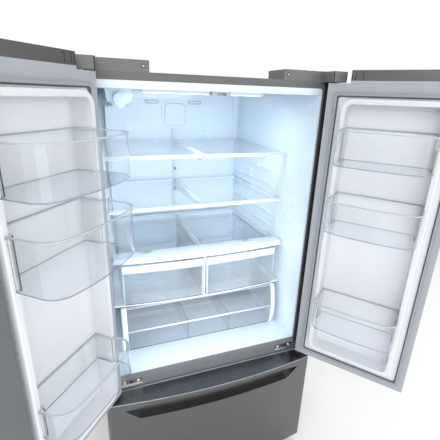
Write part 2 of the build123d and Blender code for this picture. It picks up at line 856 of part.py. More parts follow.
for hand, side in hands.items():
    with BuildPart() as humidity_slider:
        with BuildSketch(level(cabinet, rack_top + seat_gap)):
            with Locations((slider_x[hand], slider_y)):
                RectangleRounded(26, 16, 4)
        extrude(amount=7)
        fillet(humidity_slider.edges().group_by(Axis.Z)[-1], 1.5)
        with BuildSketch(level(cabinet, rack_top - 16)):
            with Locations((slider_x[hand], slider_y)):
                RectangleRounded(10, 6, 1)
        extrude(amount=17)
    humidity_slider.part.label = f"{hand}_humidity_slider"
    export_step(humidity_slider.part, f"parts/{hand}_humidity_slider.step")

crisper_bottom = rack_floor + rack_floor_thick + slide_gap
crisper_height = 180.0
crisper_back = 610.0
crisper_wall = 2.4
grip_height = 28.0


def crisper_outline(side, inset, back):
    """Plan of one crisper: its front follows the rack's bowed front."""
    radius = (fresh_half_front**2 + rack_bow**2) / (2 * rack_bow)
    centre_y = rack_front - rack_bow + radius
    x_in = side * (crisper_inner_x + inset)
    x_out = side * (crisper_outer_x - inset)
    middle = (x_in + x_out) / 2
    fronts = [centre_y - sqrt((radius - inset) ** 2 - x**2) for x in (x_in, middle, x_out)]
    with BuildLine() as outline:
        ThreePointArc((x_in, fronts[0]), (middle, fronts[1]), (x_out, fronts[2]))
        Polyline((x_out, fronts[2]), (x_out, back), (x_in, back), (x_in, fronts[0]))
    make_face(outline.edges())


for hand, side in hands.items():
    with BuildPart() as crisper:
        with BuildSketch(level(cabinet, crisper_bottom)) as footprint:
            crisper_outline(side, 0, crisper_back)
            fillet(footprint.vertices(), 10)
        extrude(amount=crisper_height)
        with BuildSketch(level(cabinet, crisper_bottom + crisper_wall)) as hollow:
            crisper_outline(side, crisper_wall, crisper_back - crisper_wall)
            fillet(hollow.vertices(), 10 - crisper_wall)
        extrude(amount=crisper_height, mode=Mode.SUBTRACT)
        with BuildSketch(level(cabinet, crisper_bottom + crisper_height - grip_height)):
            crisper_outline(side, crisper_wall, 170)
        extrude(amount=4)
    crisper.part.label = f"{hand}_crisper"
    export_step(crisper.part, f"parts/{hand}_crisper.step")

pantry_bottom = fresh_floor + slide_gap
pantry_height = 208.0
pantry_back = 610.0


def pantry_profile(inset, top):
    """Side profile of the pantry drawer: a bulged front, flat bottom and upright back."""
    base = pantry_bottom + inset
    with BuildLine() as outline:
        ThreePointArc((136 + inset, base), (124 + inset, base + 96), (150 + inset, top))
        Polyline((150 + inset, top), (pantry_back - inset, top), (pantry_back - inset, base), (136 + inset, base))
    make_face(outline.edges())


with BuildPart() as pantry_drawer:
    with BuildSketch(Plane.YZ.offset(-pantry_half)):
        pantry_profile(0, pantry_bottom + pantry_height)
    extrude(amount=2 * pantry_half)
    with BuildSketch(Plane.YZ.offset(-pantry_half + 3)):
        pantry_profile(3, pantry_bottom + pantry_height)
    extrude(amount=2 * pantry_half - 6, mode=Mode.SUBTRACT)
    for divider_x in (-74.0, 126.0):
        with BuildSketch(level(cabinet, pantry_bottom)):
            box_between(divider_x - 1.2, divider_x + 1.2, 138, pantry_back - 1)
        extrude(amount=90)
pantry_drawer.part.label = "pantry_drawer"
export_step(pantry_drawer.part, "parts/pantry_drawer.step")

# ---------------------------------------------------------------- hinges
plate = 4.0
arm_half = 20.0
cover_wall = 2.5
cover_top = 1774.0

with BuildPart() as top_hinges:
    for side in hands.values():
        with BuildSketch(level(cabinet, case_height)):
            box_between(side * 260, side * 352, 12, 100)
            box_between(side * 300, side * (pin_x + 12), 4, 40)
            box_between(side * (pin_x - 14), side * (pin_x + 12), pin_y, 40)
            with Locations((side * pin_x, pin_y)):
                Circle(12)
        extrude(amount=plate)
        with BuildSketch(level(cabinet, case_height - 24)):
            with Locations((side * pin_x, pin_y)):
                Circle(pin_radius)
        extrude(amount=24)
        with BuildSketch(level(cabinet, case_height + plate)):
            with Locations((side * 282, 30), (side * 282, 82), (side * 330, 82)):
                RegularPolygon(7, 6)
        extrude(amount=5)
top_hinges.part.label = "top_hinges"
export_step(top_hinges.part, "parts/top_hinges.step")

with BuildPart() as hinge_covers:
    for side in hands.values():
        with BuildSketch(level(cabinet, case_height)) as cover_plan:
            box_between(side * 233, side * 364, 0, 122)
            fillet(cover_plan.vertices(), 6)
            box_between(side * 350, side * (half_width - 2), 0, 46)
        extrude(amount=cover_top - case_height)
        with BuildSketch(level(cabinet, case_height - 3)) as arm_plan:
            box_between(side * (pin_x - 39), side * (half_width - 2), pin_y - 28, 0)
            fillet(arm_plan.vertices().group_by(Axis.Y)[0], 12)
        extrude(amount=cover_top - case_height + 1)
    chamfer(hinge_covers.edges().group_by(Axis.Z)[-1], 1.5)
    for side in hands.values():
        with BuildSketch(level(cabinet, case_height - 3)):
            box_between(side * (233 + cover_wall), side * (364 - cover_wall), cover_wall, 122 - cover_wall)
            box_between(side * 340, side * (half_width - 2 - cover_wall), cover_wall, 46 - cover_wall)
            box_between(
                side * (pin_x - 39 + cover_wall),
                side * (half_width - 2 - cover_wall),
                pin_y - 28 + cover_wall,
                cover_wall + 1,
            )
        extrude(amount=cover_top - case_height + 3 - cover_wall - 1.5, mode=Mode.SUBTRACT)
hinge_covers.part.label = "hinge_covers"
export_step(hinge_covers.part, "parts/hinge_covers.step")

centre_plate_z = 558.0
with BuildPart() as centre_hinges:
    for side in hands.values():
        with BuildSketch(elevation(cabinet, 0)):
            box_between(side * 306, side * 396, centre_plate_z, 590)
        extrude(amount=3)
        with BuildSketch(level(cabinet, centre_plate_z)):
            box_between(side * 306, side * (pin_x + 12), -8, 0)
            box_between(side * (pin_x - 14), side * (pin_x + 12), pin_y, 0)
            with Locations((side * pin_x, pin_y)):
                Circle(12)
        extrude(amount=6)
        with BuildSketch(level(cabinet, centre_plate_z + 6)):
            with Locations((side * pin_x, pin_y)):
                Circle(pin_radius)
        extrude(amount=26)
centre_hinges.part.label = "centre_hinges"
export_step(centre_hinges.part, "parts/centre_hinges.step")

# ---------------------------------------------------------------- doors
hinge_pocket_floor = case_height - 6
bore_radius = pin_radius + running_gap
pan_shell = 3.0
cap_wall = 2.5


def hinge_pocket(side):
    """Plan of the pocket in a door's top that sweeps past the fixed hinge arm."""
    with Locations((side * pin_x, pin_y)):
        Circle(hinge_sweep)
    box_between(side * (pin_x - 30), side * (door_outer_x + 10), -200, 60)


def beyond_arc(inset, far):
    """Region between the front arc, moved back by the inset, and a straight line at far."""
    reach = door_outer_x + 8
    with BuildLine() as outline:
        ThreePointArc(
            (-reach, front_depth(reach, inset)),
            (0, front_depth(0, inset)),
            (reach, front_depth(reach, inset)),
        )
        Polyline((reach, front_depth(reach, inset)), (reach, far), (-reach, far), (-reach, front_depth(reach, inset)))
    make_face(outline.edges())


def grip_block(plan, outline, grow, depth):
    """Block that fills a finger grip: its outline grown all round, cut to a depth behind the front."""
    with BuildPart() as block:
        with BuildSketch(elevation(plan, -150)):
            with BuildLine():
                Polyline(*outline, close=True)
            make_face()
            if grow:
                offset(amount=grow, kind=Kind.INTERSECTION)
        extrude(amount=-130)
        with BuildSketch(level(plan, 0)):
            beyond_arc(depth, 60)
        extrude(amount=door_cap_top, mode=Mode.SUBTRACT)
    return block.part


def grip_lining(plan, outline):
    """Thin lining round a finger grip, flush with the arched front."""
    with BuildPart() as lining:
        add(grip_block(plan, outline, sheet, grip_depth + sheet))
        with BuildSketch(level(plan, 0)):
            beyond_arc(0, -300)
        extrude(amount=door_cap_top, mode=Mode.SUBTRACT)
    return lining.part


def ring_outline(x_a, x_b, z_a, z_b, radius, band):
    """Rounded rectangular ring in an upright sketch."""
    with Locations(((x_a + x_b) / 2, (z_a + z_b) / 2)):
        RectangleRounded(abs(x_b - x_a), z_b - z_a, radius)
        RectangleRounded(abs(x_b - x_a) - 2 * band, z_b - z_a - 2 * band, radius - band * 0.6, mode=Mode.SUBTRACT)


def bin_outline(side, inset, ear_reach, front, bow):
    """Plan of a door bin: a back that fits inside the liner's rim, ears over the rim, a bowed front."""
    x_in = side * (dyke_inner_x + dyke_rim + bin_side_gap + inset)
    x_out = side * (dyke_outer_x - dyke_rim - bin_side_gap - inset)
    ear = side * ear_reach
    step = dyke_crest_y + 2 + inset
    front -= inset
    back = bin_back + inset
    with BuildLine() as outline:
        ThreePointArc((x_in - ear, front), ((x_in + x_out) / 2, front + bow), (x_out + ear, front))
        Polyline(
            (x_out + ear, front),
            (x_out + ear, step),
            (x_out, step),
            (x_out, back),
            (x_in, back),
            (x_in, step),
            (x_in - ear, step),
            (x_in - ear, front),
        )
    make_face(outline.edges())


for hand, side in hands.items():
    plan = door_plans[hand]
    grip = [(side * x, z) for x, z in ((30, 606), (190, 590), (330, 590), (286, 634), (30, 634))]

    with BuildPart() as door_skin:
        with BuildSketch(level(plan, door_bottom)):
            door_outline(side, 0, door_inner_y - frame_lip)
        extrude(amount=door_body_top - door_bottom)
        with BuildSketch(level(plan, door_body_top - 8)):
            door_outline(side, 0, door_inner_y)
        extrude(amount=door_cap_top - door_body_top + 8)
        with BuildSketch(level(plan, door_bottom)):
            door_outline(side, sheet, 10)
        extrude(amount=door_body_top - door_bottom, mode=Mode.SUBTRACT)
        with BuildSketch(level(plan, door_body_top)):
            door_outline(side, cap_wall, door_inner_y - cap_wall)
            hinge_end = pin_x - hinge_sweep - cap_wall
            with Locations((side * (hinge_end + 100), 0)):
                Rectangle(200, 400, mode=Mode.SUBTRACT)
        extrude(amount=door_cap_top - door_body_top - cap_wall, mode=Mode.SUBTRACT)
        with BuildSketch(level(plan, hinge_pocket_floor)):
            hinge_pocket(side)
        extrude(amount=100, mode=Mode.SUBTRACT)
        with BuildSketch(level(plan, door_body_top - 8)):
            box_between(0, side * (door_outer_x + 10), door_inner_y - frame_lip, 60)
        extrude(amount=8, mode=Mode.SUBTRACT)
        add(grip_lining(plan, grip))
        add(grip_block(plan, grip, 0, grip_depth), mode=Mode.SUBTRACT)
    door_skin.part.label = f"{hand}_door_skin"
    export_step(door_skin.part, f"parts/{hand}_door_skin.step")

    with BuildPart() as door_core:
        with BuildSketch(level(plan, door_bottom)):
            door_outline(side, sheet + running_gap, door_inner_y - frame_lip)
        extrude(amount=door_body_top - door_bottom)
        with BuildSketch(level(plan, door_bottom)):
            box_between(side * centre_gap / 2, side * door_outer_x, door_inner_y - frame_lip, door_inner_y)
        extrude(amount=door_body_top - door_bottom)
        with BuildSketch(level(plan, hinge_pocket_floor)):
            hinge_pocket(side)
        extrude(amount=100, mode=Mode.SUBTRACT)
        with BuildSketch(level(plan, door_bottom)):
            with Locations((side * pin_x, pin_y)):
                Circle(bore_radius)
        extrude(amount=20, mode=Mode.SUBTRACT)
        with BuildSketch(level(plan, hinge_pocket_floor - 22)):
            with Locations((side * pin_x, pin_y)):
                Circle(bore_radius)
        extrude(amount=30, mode=Mode.SUBTRACT)
        with BuildSketch(elevation(plan, door_inner_y)):
            rounded_between(
                side * (dyke_inner_x + dyke_rim - pan_shell),
                side * (dyke_outer_x - dyke_rim + pan_shell),
                dyke_bottom + dyke_rim - pan_shell,
                dyke_top - dyke_rim + pan_shell,
                25,
            )
        extrude(amount=door_inner_y - pan_y + pan_shell + running_gap, mode=Mode.SUBTRACT)
        add(grip_block(plan, grip, sheet + running_gap, grip_depth + sheet + running_gap), mode=Mode.SUBTRACT)
    door_core.part.label = f"{hand}_door_core"
    export_step(door_core.part, f"parts/{hand}_door_core.step")

    gasket_in = 22.0
    gasket_out = 424.0
    gasket_low = 600.0
    gasket_high = 1704.0
    with BuildPart() as door_gasket:
        with BuildSketch(elevation(plan, door_inner_y)):
            ring_outline(side * gasket_in, side * gasket_out, gasket_low, gasket_high, 10, gasket_band)
        extrude(amount=-(gasket_face_y - door_inner_y) + 3)
        with BuildSketch(elevation(plan, door_inner_y)):
            ring_outline(
                side * (gasket_in + 3), side * (gasket_out - 3), gasket_low + 3, gasket_high - 3, 8, gasket_band - 6
            )
        extrude(amount=-(gasket_face_y - door_inner_y))
    door_gasket.part.label = f"{hand}_door_gasket"
    export_step(door_gasket.part, f"parts/{hand}_door_gasket.step")

    with BuildPart() as door_liner:
        with BuildSketch(elevation(plan, door_inner_y)):
            rounded_between(
                side * (gasket_in + gasket_band + 0.5),
                side * (gasket_out - gasket_band - 0.5),
                gasket_low + gasket_band + 0.5,
                gasket_high - gasket_band - 0.5,
                10,
            )
        extrude(amount=-3)
        with BuildSketch(elevation(plan, door_inner_y)):
            rounded_between(side * dyke_inner_x, side * dyke_outer_x, dyke_bottom, dyke_top, 40)
        extrude(amount=-(dyke_crest_y - door_inner_y), taper=1.5)
        crest = door_liner.faces().sort_by(Axis(plan.origin, plan.y_dir))[-1]
        fillet(crest.edges(), 5)
        with BuildSketch(elevation(plan, door_inner_y)):
            rounded_between(
                side * (dyke_inner_x + dyke_rim - pan_shell),
                side * (dyke_outer_x - dyke_rim + pan_shell),
                dyke_bottom + dyke_rim - pan_shell,
                dyke_top - dyke_rim + pan_shell,
                25,
            )
        extrude(amount=door_inner_y - pan_y + pan_shell)
        with BuildSketch(elevation(plan, pan_y)):
            rounded_between(
                side * (dyke_inner_x + dyke_rim),
                side * (dyke_outer_x - dyke_rim),
                dyke_bottom + dyke_rim,
                dyke_top - dyke_rim,
                22,
            )
        extrude(amount=-100, mode=Mode.SUBTRACT)
        for bottom, height in bin_levels[hand].values():
            with BuildSketch(level(plan, bottom - seat_gap - 12)):
                for wall, inward in ((dyke_inner_x + dyke_rim, 1), (dyke_outer_x - dyke_rim, -1)):
                    box_between(side * (wall - inward), side * (wall + inward * bin_lug), pan_y + 8, dyke_crest_y - 8)
            extrude(amount=12)
        if hand == "left":
            for lug_z in (702.0, 1622.0):
                with BuildSketch(level(plan, lug_z)):
                    box_between(flap_axis_x, side * (dyke_inner_x + 3), flap_axis_y - 5, flap_axis_y + 5)
                    with Locations((flap_axis_x, flap_axis_y)):
                        Circle(5)
                extrude(amount=8)
                with BuildSketch(level(plan, lug_z - 6)):
                    with Locations((flap_axis_x, flap_axis_y)):
                        Circle(2.5)
                extrude(amount=20)
    door_liner.part.label = f"{hand}_door_liner"
    export_step(door_liner.part, f"parts/{hand}_door_liner.step")

    for name, (bottom, height) in bin_levels[hand].items():
        front, bow = bin_fronts[hand][name]
        reach = bin_ears[hand]
        corner = bin_corners[hand]
        with BuildPart() as door_bin:
            with BuildSketch(level(plan, bottom)) as footprint:
                bin_outline(side, 0, reach, front, bow)
                fillet(footprint.vertices().group_by(Axis.Y)[-1], corner)
            extrude(amount=height)
            fillet(door_bin.edges().group_by(Axis.Z)[0], 4)
            with BuildSketch(level(plan, bottom + bin_wall)) as hollow:
                bin_outline(side, bin_wall, reach, front, bow)
                fillet(hollow.vertices().group_by(Axis.Y)[-1], corner - bin_wall)
            extrude(amount=height, mode=Mode.SUBTRACT)
            with BuildSketch(level(plan, bottom + height - 6)) as rim:
                bin_outline(side, -1.2, reach, front, bow)
                fillet(rim.vertices().group_by(Axis.Y)[-1], corner)
            extrude(amount=6)
            with BuildSketch(level(plan, bottom + height - 6)) as rim_hollow:
                bin_outline(side, bin_wall, reach, front, bow)
                fillet(rim_hollow.vertices().group_by(Axis.Y)[-1], corner - bin_wall)
            extrude(amount=6, mode=Mode.SUBTRACT)
        door_bin.part.label = f"{hand}_{name}_bin"
        export_step(door_bin.part, f"parts/{hand}_{name}_bin.step")

# ---------------------------------------------------------------- middle flap
flap_plan = door_plans["left"]
guide_pin = (5.0, 10.0)

with BuildPart() as mullion_flap:
    with BuildSketch(level(flap_plan, flap_bottom)):
        rounded_between(-flap_half, flap_half, 0, flap_thick, 4)
    extrude(amount=flap_top - flap_bottom)
    for lug_z in (702.0, 1622.0):
        with BuildSketch(level(flap_plan, lug_z - 0.5)):
            box_between(-flap_half - 1, flap_axis_x + 17, -1, flap_thick + 1)
        extrude(amount=9, mode=Mode.SUBTRACT)
        with BuildSketch(level(flap_plan, lug_z - 8)):
            with Locations((flap_axis_x, flap_axis_y)):
                Circle(2.5 + running_gap)
        extrude(amount=24, mode=Mode.SUBTRACT)
    with BuildSketch(level(flap_plan, flap_top)):
        with Locations(guide_pin):
            Circle(4)
    extrude(amount=10)
mullion_flap.part.label = "mullion_flap"
export_step(mullion_flap.part, "parts/mullion_flap.step")

# ---------------------------------------------------------------- freezer drawer
drawer_half = door_outer_x
drawer_grip = [(-386, 515), (-250, 536), (250, 536), (386, 515), (330, 470), (-330, 470)]
drawer_gasket_low = 92.0
drawer_gasket_high = 548.0
basket_half = 352.0
basket_front = 8.3
basket_back = 450.0
basket_bottom = 150.0
basket_top = 412.0
basket_wall = 3.0
rail_low = 225.0
rail_high = 265.0
tray_top = 500.0
tray_wall = 2.5


def drawer_outline(inset, back):
    """Plan of the drawer front across the whole width."""
    arched_outline(
        -drawer_half + inset, drawer_half - inset, inset, back, outer_corner - inset, outer_corner - inset
    )


with BuildPart() as drawer_front:
    with BuildSketch(level(cabinet, drawer_bottom)):
        drawer_outline(0, door_inner_y - frame_lip)
    extrude(amount=drawer_top - drawer_bottom)
    with BuildSketch(level(cabinet, drawer_bottom + sheet)):
        drawer_outline(sheet, 10)
    extrude(amount=drawer_top - drawer_bottom - 2 * sheet, mode=Mode.SUBTRACT)
    add(grip_lining(cabinet, drawer_grip))
    add(grip_block(cabinet, drawer_grip, 0, grip_depth), mode=Mode.SUBTRACT)
drawer_front.part.label = "drawer_front"
export_step(drawer_front.part, "parts/drawer_front.step")

with BuildPart() as drawer_inner_panel:
    with BuildSketch(level(cabinet, drawer_bottom + sheet + running_gap)):
        drawer_outline(sheet + running_gap, door_inner_y - frame_lip)
    extrude(amount=drawer_top - drawer_bottom - 2 * (sheet + running_gap))
    with BuildSketch(level(cabinet, drawer_bottom)):
        box_between(-drawer_half, drawer_half, door_inner_y - frame_lip, door_inner_y)
    extrude(amount=drawer_top - drawer_bottom)
    with BuildSketch(elevation(cabinet, door_inner_y)):
        rounded_between(-360, 360, 130, 512, 20)
    extrude(amount=-20)
    fillet(drawer_inner_panel.faces().sort_by(Axis.Y)[-1].edges(), 4)
    add(
        grip_block(cabinet, drawer_grip, sheet + running_gap, grip_depth + sheet + running_gap),
        mode=Mode.SUBTRACT,
    )
drawer_inner_panel.part.label = "drawer_inner_panel"
export_step(drawer_inner_panel.part, "parts/drawer_inner_panel.step")

with BuildPart() as drawer_gasket:
    with BuildSketch(elevation(cabinet, door_inner_y)):
        ring_outline(-gasket_out, gasket_out, drawer_gasket_low, drawer_gasket_high, 10, gasket_band)
    extrude(amount=-(gasket_face_y - door_inner_y) + 3)
    with BuildSketch(elevation(cabinet, door_inner_y)):
        ring_outline(
            -gasket_out + 3, gasket_out - 3, drawer_gasket_low + 3, drawer_gasket_high - 3, 8, gasket_band - 6
        )
    extrude(amount=-(gasket_face_y - door_inner_y))
drawer_gasket.part.label = "drawer_gasket"
export_step(drawer_gasket.part, "parts/drawer_gasket.step")

inner_rail_x = 373.0
middle_rail_x = 377.4
outer_rail_x = 384.4
rail_thick = 4.0

with BuildPart() as freezer_basket:
    with BuildSketch(level(cabinet, basket_bottom)):
        rounded_between(-basket_half, basket_half, basket_front, basket_back, 18)
    extrude(amount=basket_top - basket_bottom)
    fillet(freezer_basket.edges().group_by(Axis.Z)[0], 8)
    with BuildSketch(level(cabinet, basket_bottom + basket_wall)):
        rounded_between(
            -basket_half + basket_wall,
            basket_half - basket_wall,
            basket_front + basket_wall,
            basket_back - basket_wall,
            18 - basket_wall,
        )
    extrude(amount=basket_top, mode=Mode.SUBTRACT)
    with BuildSketch(Plane.YZ.offset(-basket_half - 5)):
        with Locations((230, 300)):
            with GridLocations(34, 0, 10, 1):
                SlotOverall(120, 12, rotation=90)
    extrude(amount=2 * basket_half + 10, mode=Mode.SUBTRACT)
    for side in hands.values():
        with BuildSketch(level(cabinet, rail_low)):
            box_between(side * inner_rail_x, side * (inner_rail_x + rail_thick), door_inner_y + 0.3, 440)
        extrude(amount=rail_high - rail_low)
        with BuildSketch(level(cabinet, rail_low - 6)):
            for y in (36, 400):
                box_between(side * (basket_half - 1), side * (inner_rail_x + 1), y, y + 14)
        extrude(amount=18)
freezer_basket.part.label = "freezer_basket"
export_step(freezer_basket.part, "parts/freezer_basket.step")

with BuildPart() as slide_middle_members:
    for side in hands.values():
        with BuildSketch(level(cabinet, rail_low)):
            box_between(side * middle_rail_x, side * (middle_rail_x + 6.6), 16, 460)
        extrude(amount=rail_high - rail_low)
slide_middle_members.part.label = "slide_middle_members"
export_step(slide_middle_members.part, "parts/slide_middle_members.step")

with BuildPart() as slide_outer_members:
    for side in hands.values():
        with BuildSketch(level(cabinet, rail_low)):
            box_between(side * outer_rail_x, side * (freezer_half - 0.2), 12, 476)
        extrude(amount=rail_high - rail_low)
slide_outer_members.part.label = "slide_outer_members"
export_step(slide_outer_members.part, "parts/slide_outer_members.step")

with BuildPart() as freezer_tray:
    with BuildSketch(level(cabinet, basket_top + slide_gap)):
        rounded_between(-basket_half - 4, basket_half + 4, 40, 400, 20)
    extrude(amount=tray_top - basket_top - slide_gap)
    fillet(freezer_tray.edges().group_by(Axis.Z)[0], 5)
    with BuildSketch(level(cabinet, basket_top + slide_gap + tray_wall)):
        rounded_between(
            -basket_half - 4 + tray_wall, basket_half + 4 - tray_wall, 40 + tray_wall, 400 - tray_wall, 20 - tray_wall
        )
    extrude(amount=tray_top, mode=Mode.SUBTRACT)
freezer_tray.part.label = "freezer_tray"
export_step(freezer_tray.part, "parts/freezer_tray.step")
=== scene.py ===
"""Looks for the french door refrigerator: finishes, small fitted pieces, studio and camera.

Every size is in millimetres until it reaches a mesh, which is in metres. The doors stand open at
rest, so what rides on a door is drawn with the door shut and then swung to its rest angle.
"""

import json
import logging
import math
from dataclasses import dataclass, field
from enum import Enum
from typing import Callable, Sequence

import bmesh
import bpy
from mathutils import Matrix, Vector


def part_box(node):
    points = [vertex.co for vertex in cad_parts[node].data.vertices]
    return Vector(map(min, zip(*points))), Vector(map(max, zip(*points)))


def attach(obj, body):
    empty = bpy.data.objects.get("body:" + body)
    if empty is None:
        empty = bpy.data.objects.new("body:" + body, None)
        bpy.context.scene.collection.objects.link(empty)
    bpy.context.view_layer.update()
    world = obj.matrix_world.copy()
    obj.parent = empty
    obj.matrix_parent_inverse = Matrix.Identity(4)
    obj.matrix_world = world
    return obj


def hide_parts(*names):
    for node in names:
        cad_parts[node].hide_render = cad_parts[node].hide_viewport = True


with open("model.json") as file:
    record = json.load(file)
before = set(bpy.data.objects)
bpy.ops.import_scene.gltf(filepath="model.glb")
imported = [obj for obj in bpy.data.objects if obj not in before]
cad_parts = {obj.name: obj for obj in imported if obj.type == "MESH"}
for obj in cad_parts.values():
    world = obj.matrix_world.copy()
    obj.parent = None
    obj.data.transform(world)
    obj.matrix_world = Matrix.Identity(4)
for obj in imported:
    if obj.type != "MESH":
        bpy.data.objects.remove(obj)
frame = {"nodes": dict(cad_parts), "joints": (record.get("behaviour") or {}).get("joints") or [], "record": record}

LOG = logging.getLogger("refrigerator")
MM = 0.001
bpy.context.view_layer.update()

Colour = tuple[float, float, float]
Point = tuple[float, float, float]


class Hand(Enum):
    """The side of the cabinet that a door or drawer belongs to, seen from the front."""

    LEFT = "left"
    RIGHT = "right"

    @property
    def sign(self) -> int:
        """-1 on the left, 1 on the right."""
        return -1 if self is Hand.LEFT else 1


class Level(Enum):
    """The heights at which the door bins hang."""

    UPPER = "upper"
    MIDDLE = "middle"
    LOWER = "lower"


class Coordinates(Enum):
    """The texture coordinates that a finish is laid out in."""

    OBJECT = "Object"
    GENERATED = "Generated"


# ---------------------------------------------------------------- node work


class NodeBench:
    """Adds and joins the nodes of one shader tree."""

    def __init__(self, tree: bpy.types.NodeTree) -> None:
        """Clears the tree and keeps it.

        Args:
            tree: The node tree of a material, a world or a group.
        """
        self.tree = tree
        tree.nodes.clear()
        self.column = 0

    def add(self, kind: str, settings: dict | None = None, **inputs: object) -> bpy.types.Node:
        """Adds a node.

        Args:
            kind: Blender's name for the node's type.
            settings: Values for the node's own properties.
            inputs: Values or output sockets for its input sockets, with _ for each space.

        Returns:
            The new node.
        """
        node = self.tree.nodes.new(kind)
        node.location = (180 * self.column, 0)
        self.column += 1
        for name, value in (settings or {}).items():
            setattr(node, name, value)
        for name, value in inputs.items():
            self.feed(node.inputs[name.replace("_", " ")], value)
        return node

    def feed(self, socket: bpy.types.NodeSocket, value: object) -> None:
        """Joins an output to a socket, or sets the socket's own value.

        Args:
            socket: The input socket.
            value: An output socket, a number, a vector or a colour.
        """
        if isinstance(value, bpy.types.NodeSocket):
            self.tree.links.new(value, socket)
        elif isinstance(value, (tuple, list)) and socket.type == "RGBA":
            socket.default_value = (*value[:3], 1.0)
        else:
            socket.default_value = value

    def sum(self, operation: str, first: object, second: object = 0.0,
            clamp: bool = False) -> bpy.types.NodeSocket:
        """Adds a Math node.

        Args:
            operation: The Math node's operation.
            first: Its first value or socket.
            second: Its second value or socket.
            clamp: Whether the result is kept between 0 and 1.

        Returns:
            Its output socket.
        """
        node = self.add("ShaderNodeMath", {"operation": operation, "use_clamp": clamp})
        self.feed(node.inputs[0], first)
        self.feed(node.inputs[1], second)
        return node.outputs[0]

    def blend(self, factor: object, first: object, second: object,
              mode: str = "MIX") -> bpy.types.NodeSocket:
        """Adds a Mix node for colours.

        Args:
            factor: How much of the second colour shows.
            first: The first colour or socket.
            second: The second colour or socket.
            mode: The Mix node's blend type.

        Returns:
            Its colour output.
        """
        node = self.add("ShaderNodeMix", {"data_type": "RGBA", "blend_type": mode})
        self.feed(node.inputs[0], factor)
        self.feed(node.inputs[6], first)
        self.feed(node.inputs[7], second)
        return node.outputs[2]


def shader_group(name: str, inputs: Sequence[tuple[str, str, object]],
                 outputs: Sequence[tuple[str, str]]) -> tuple[NodeBench, bpy.types.Node]:
    """Starts a shader node group with named sockets.

    Args:
        name: The group's name.
        inputs: Each input's name, socket type and starting value.
        outputs: Each output's name and socket type.

    Returns:
        A bench for the group, and its Group Input node.
    """
    tree = bpy.data.node_groups.new(name, "ShaderNodeTree")
    for label, kind, value in inputs:
        socket = tree.interface.new_socket(label, in_out="INPUT", socket_type=kind)
        if value is not None:
            socket.default_value = value
    for label, kind in outputs:
        tree.interface.new_socket(label, in_out="OUTPUT", socket_type=kind)
    bench = NodeBench(tree)
    return bench, bench.add("NodeGroupInput")


FLOAT, COLOUR, VECTOR = "NodeSocketFloat", "NodeSocketColor", "NodeSocketVector"


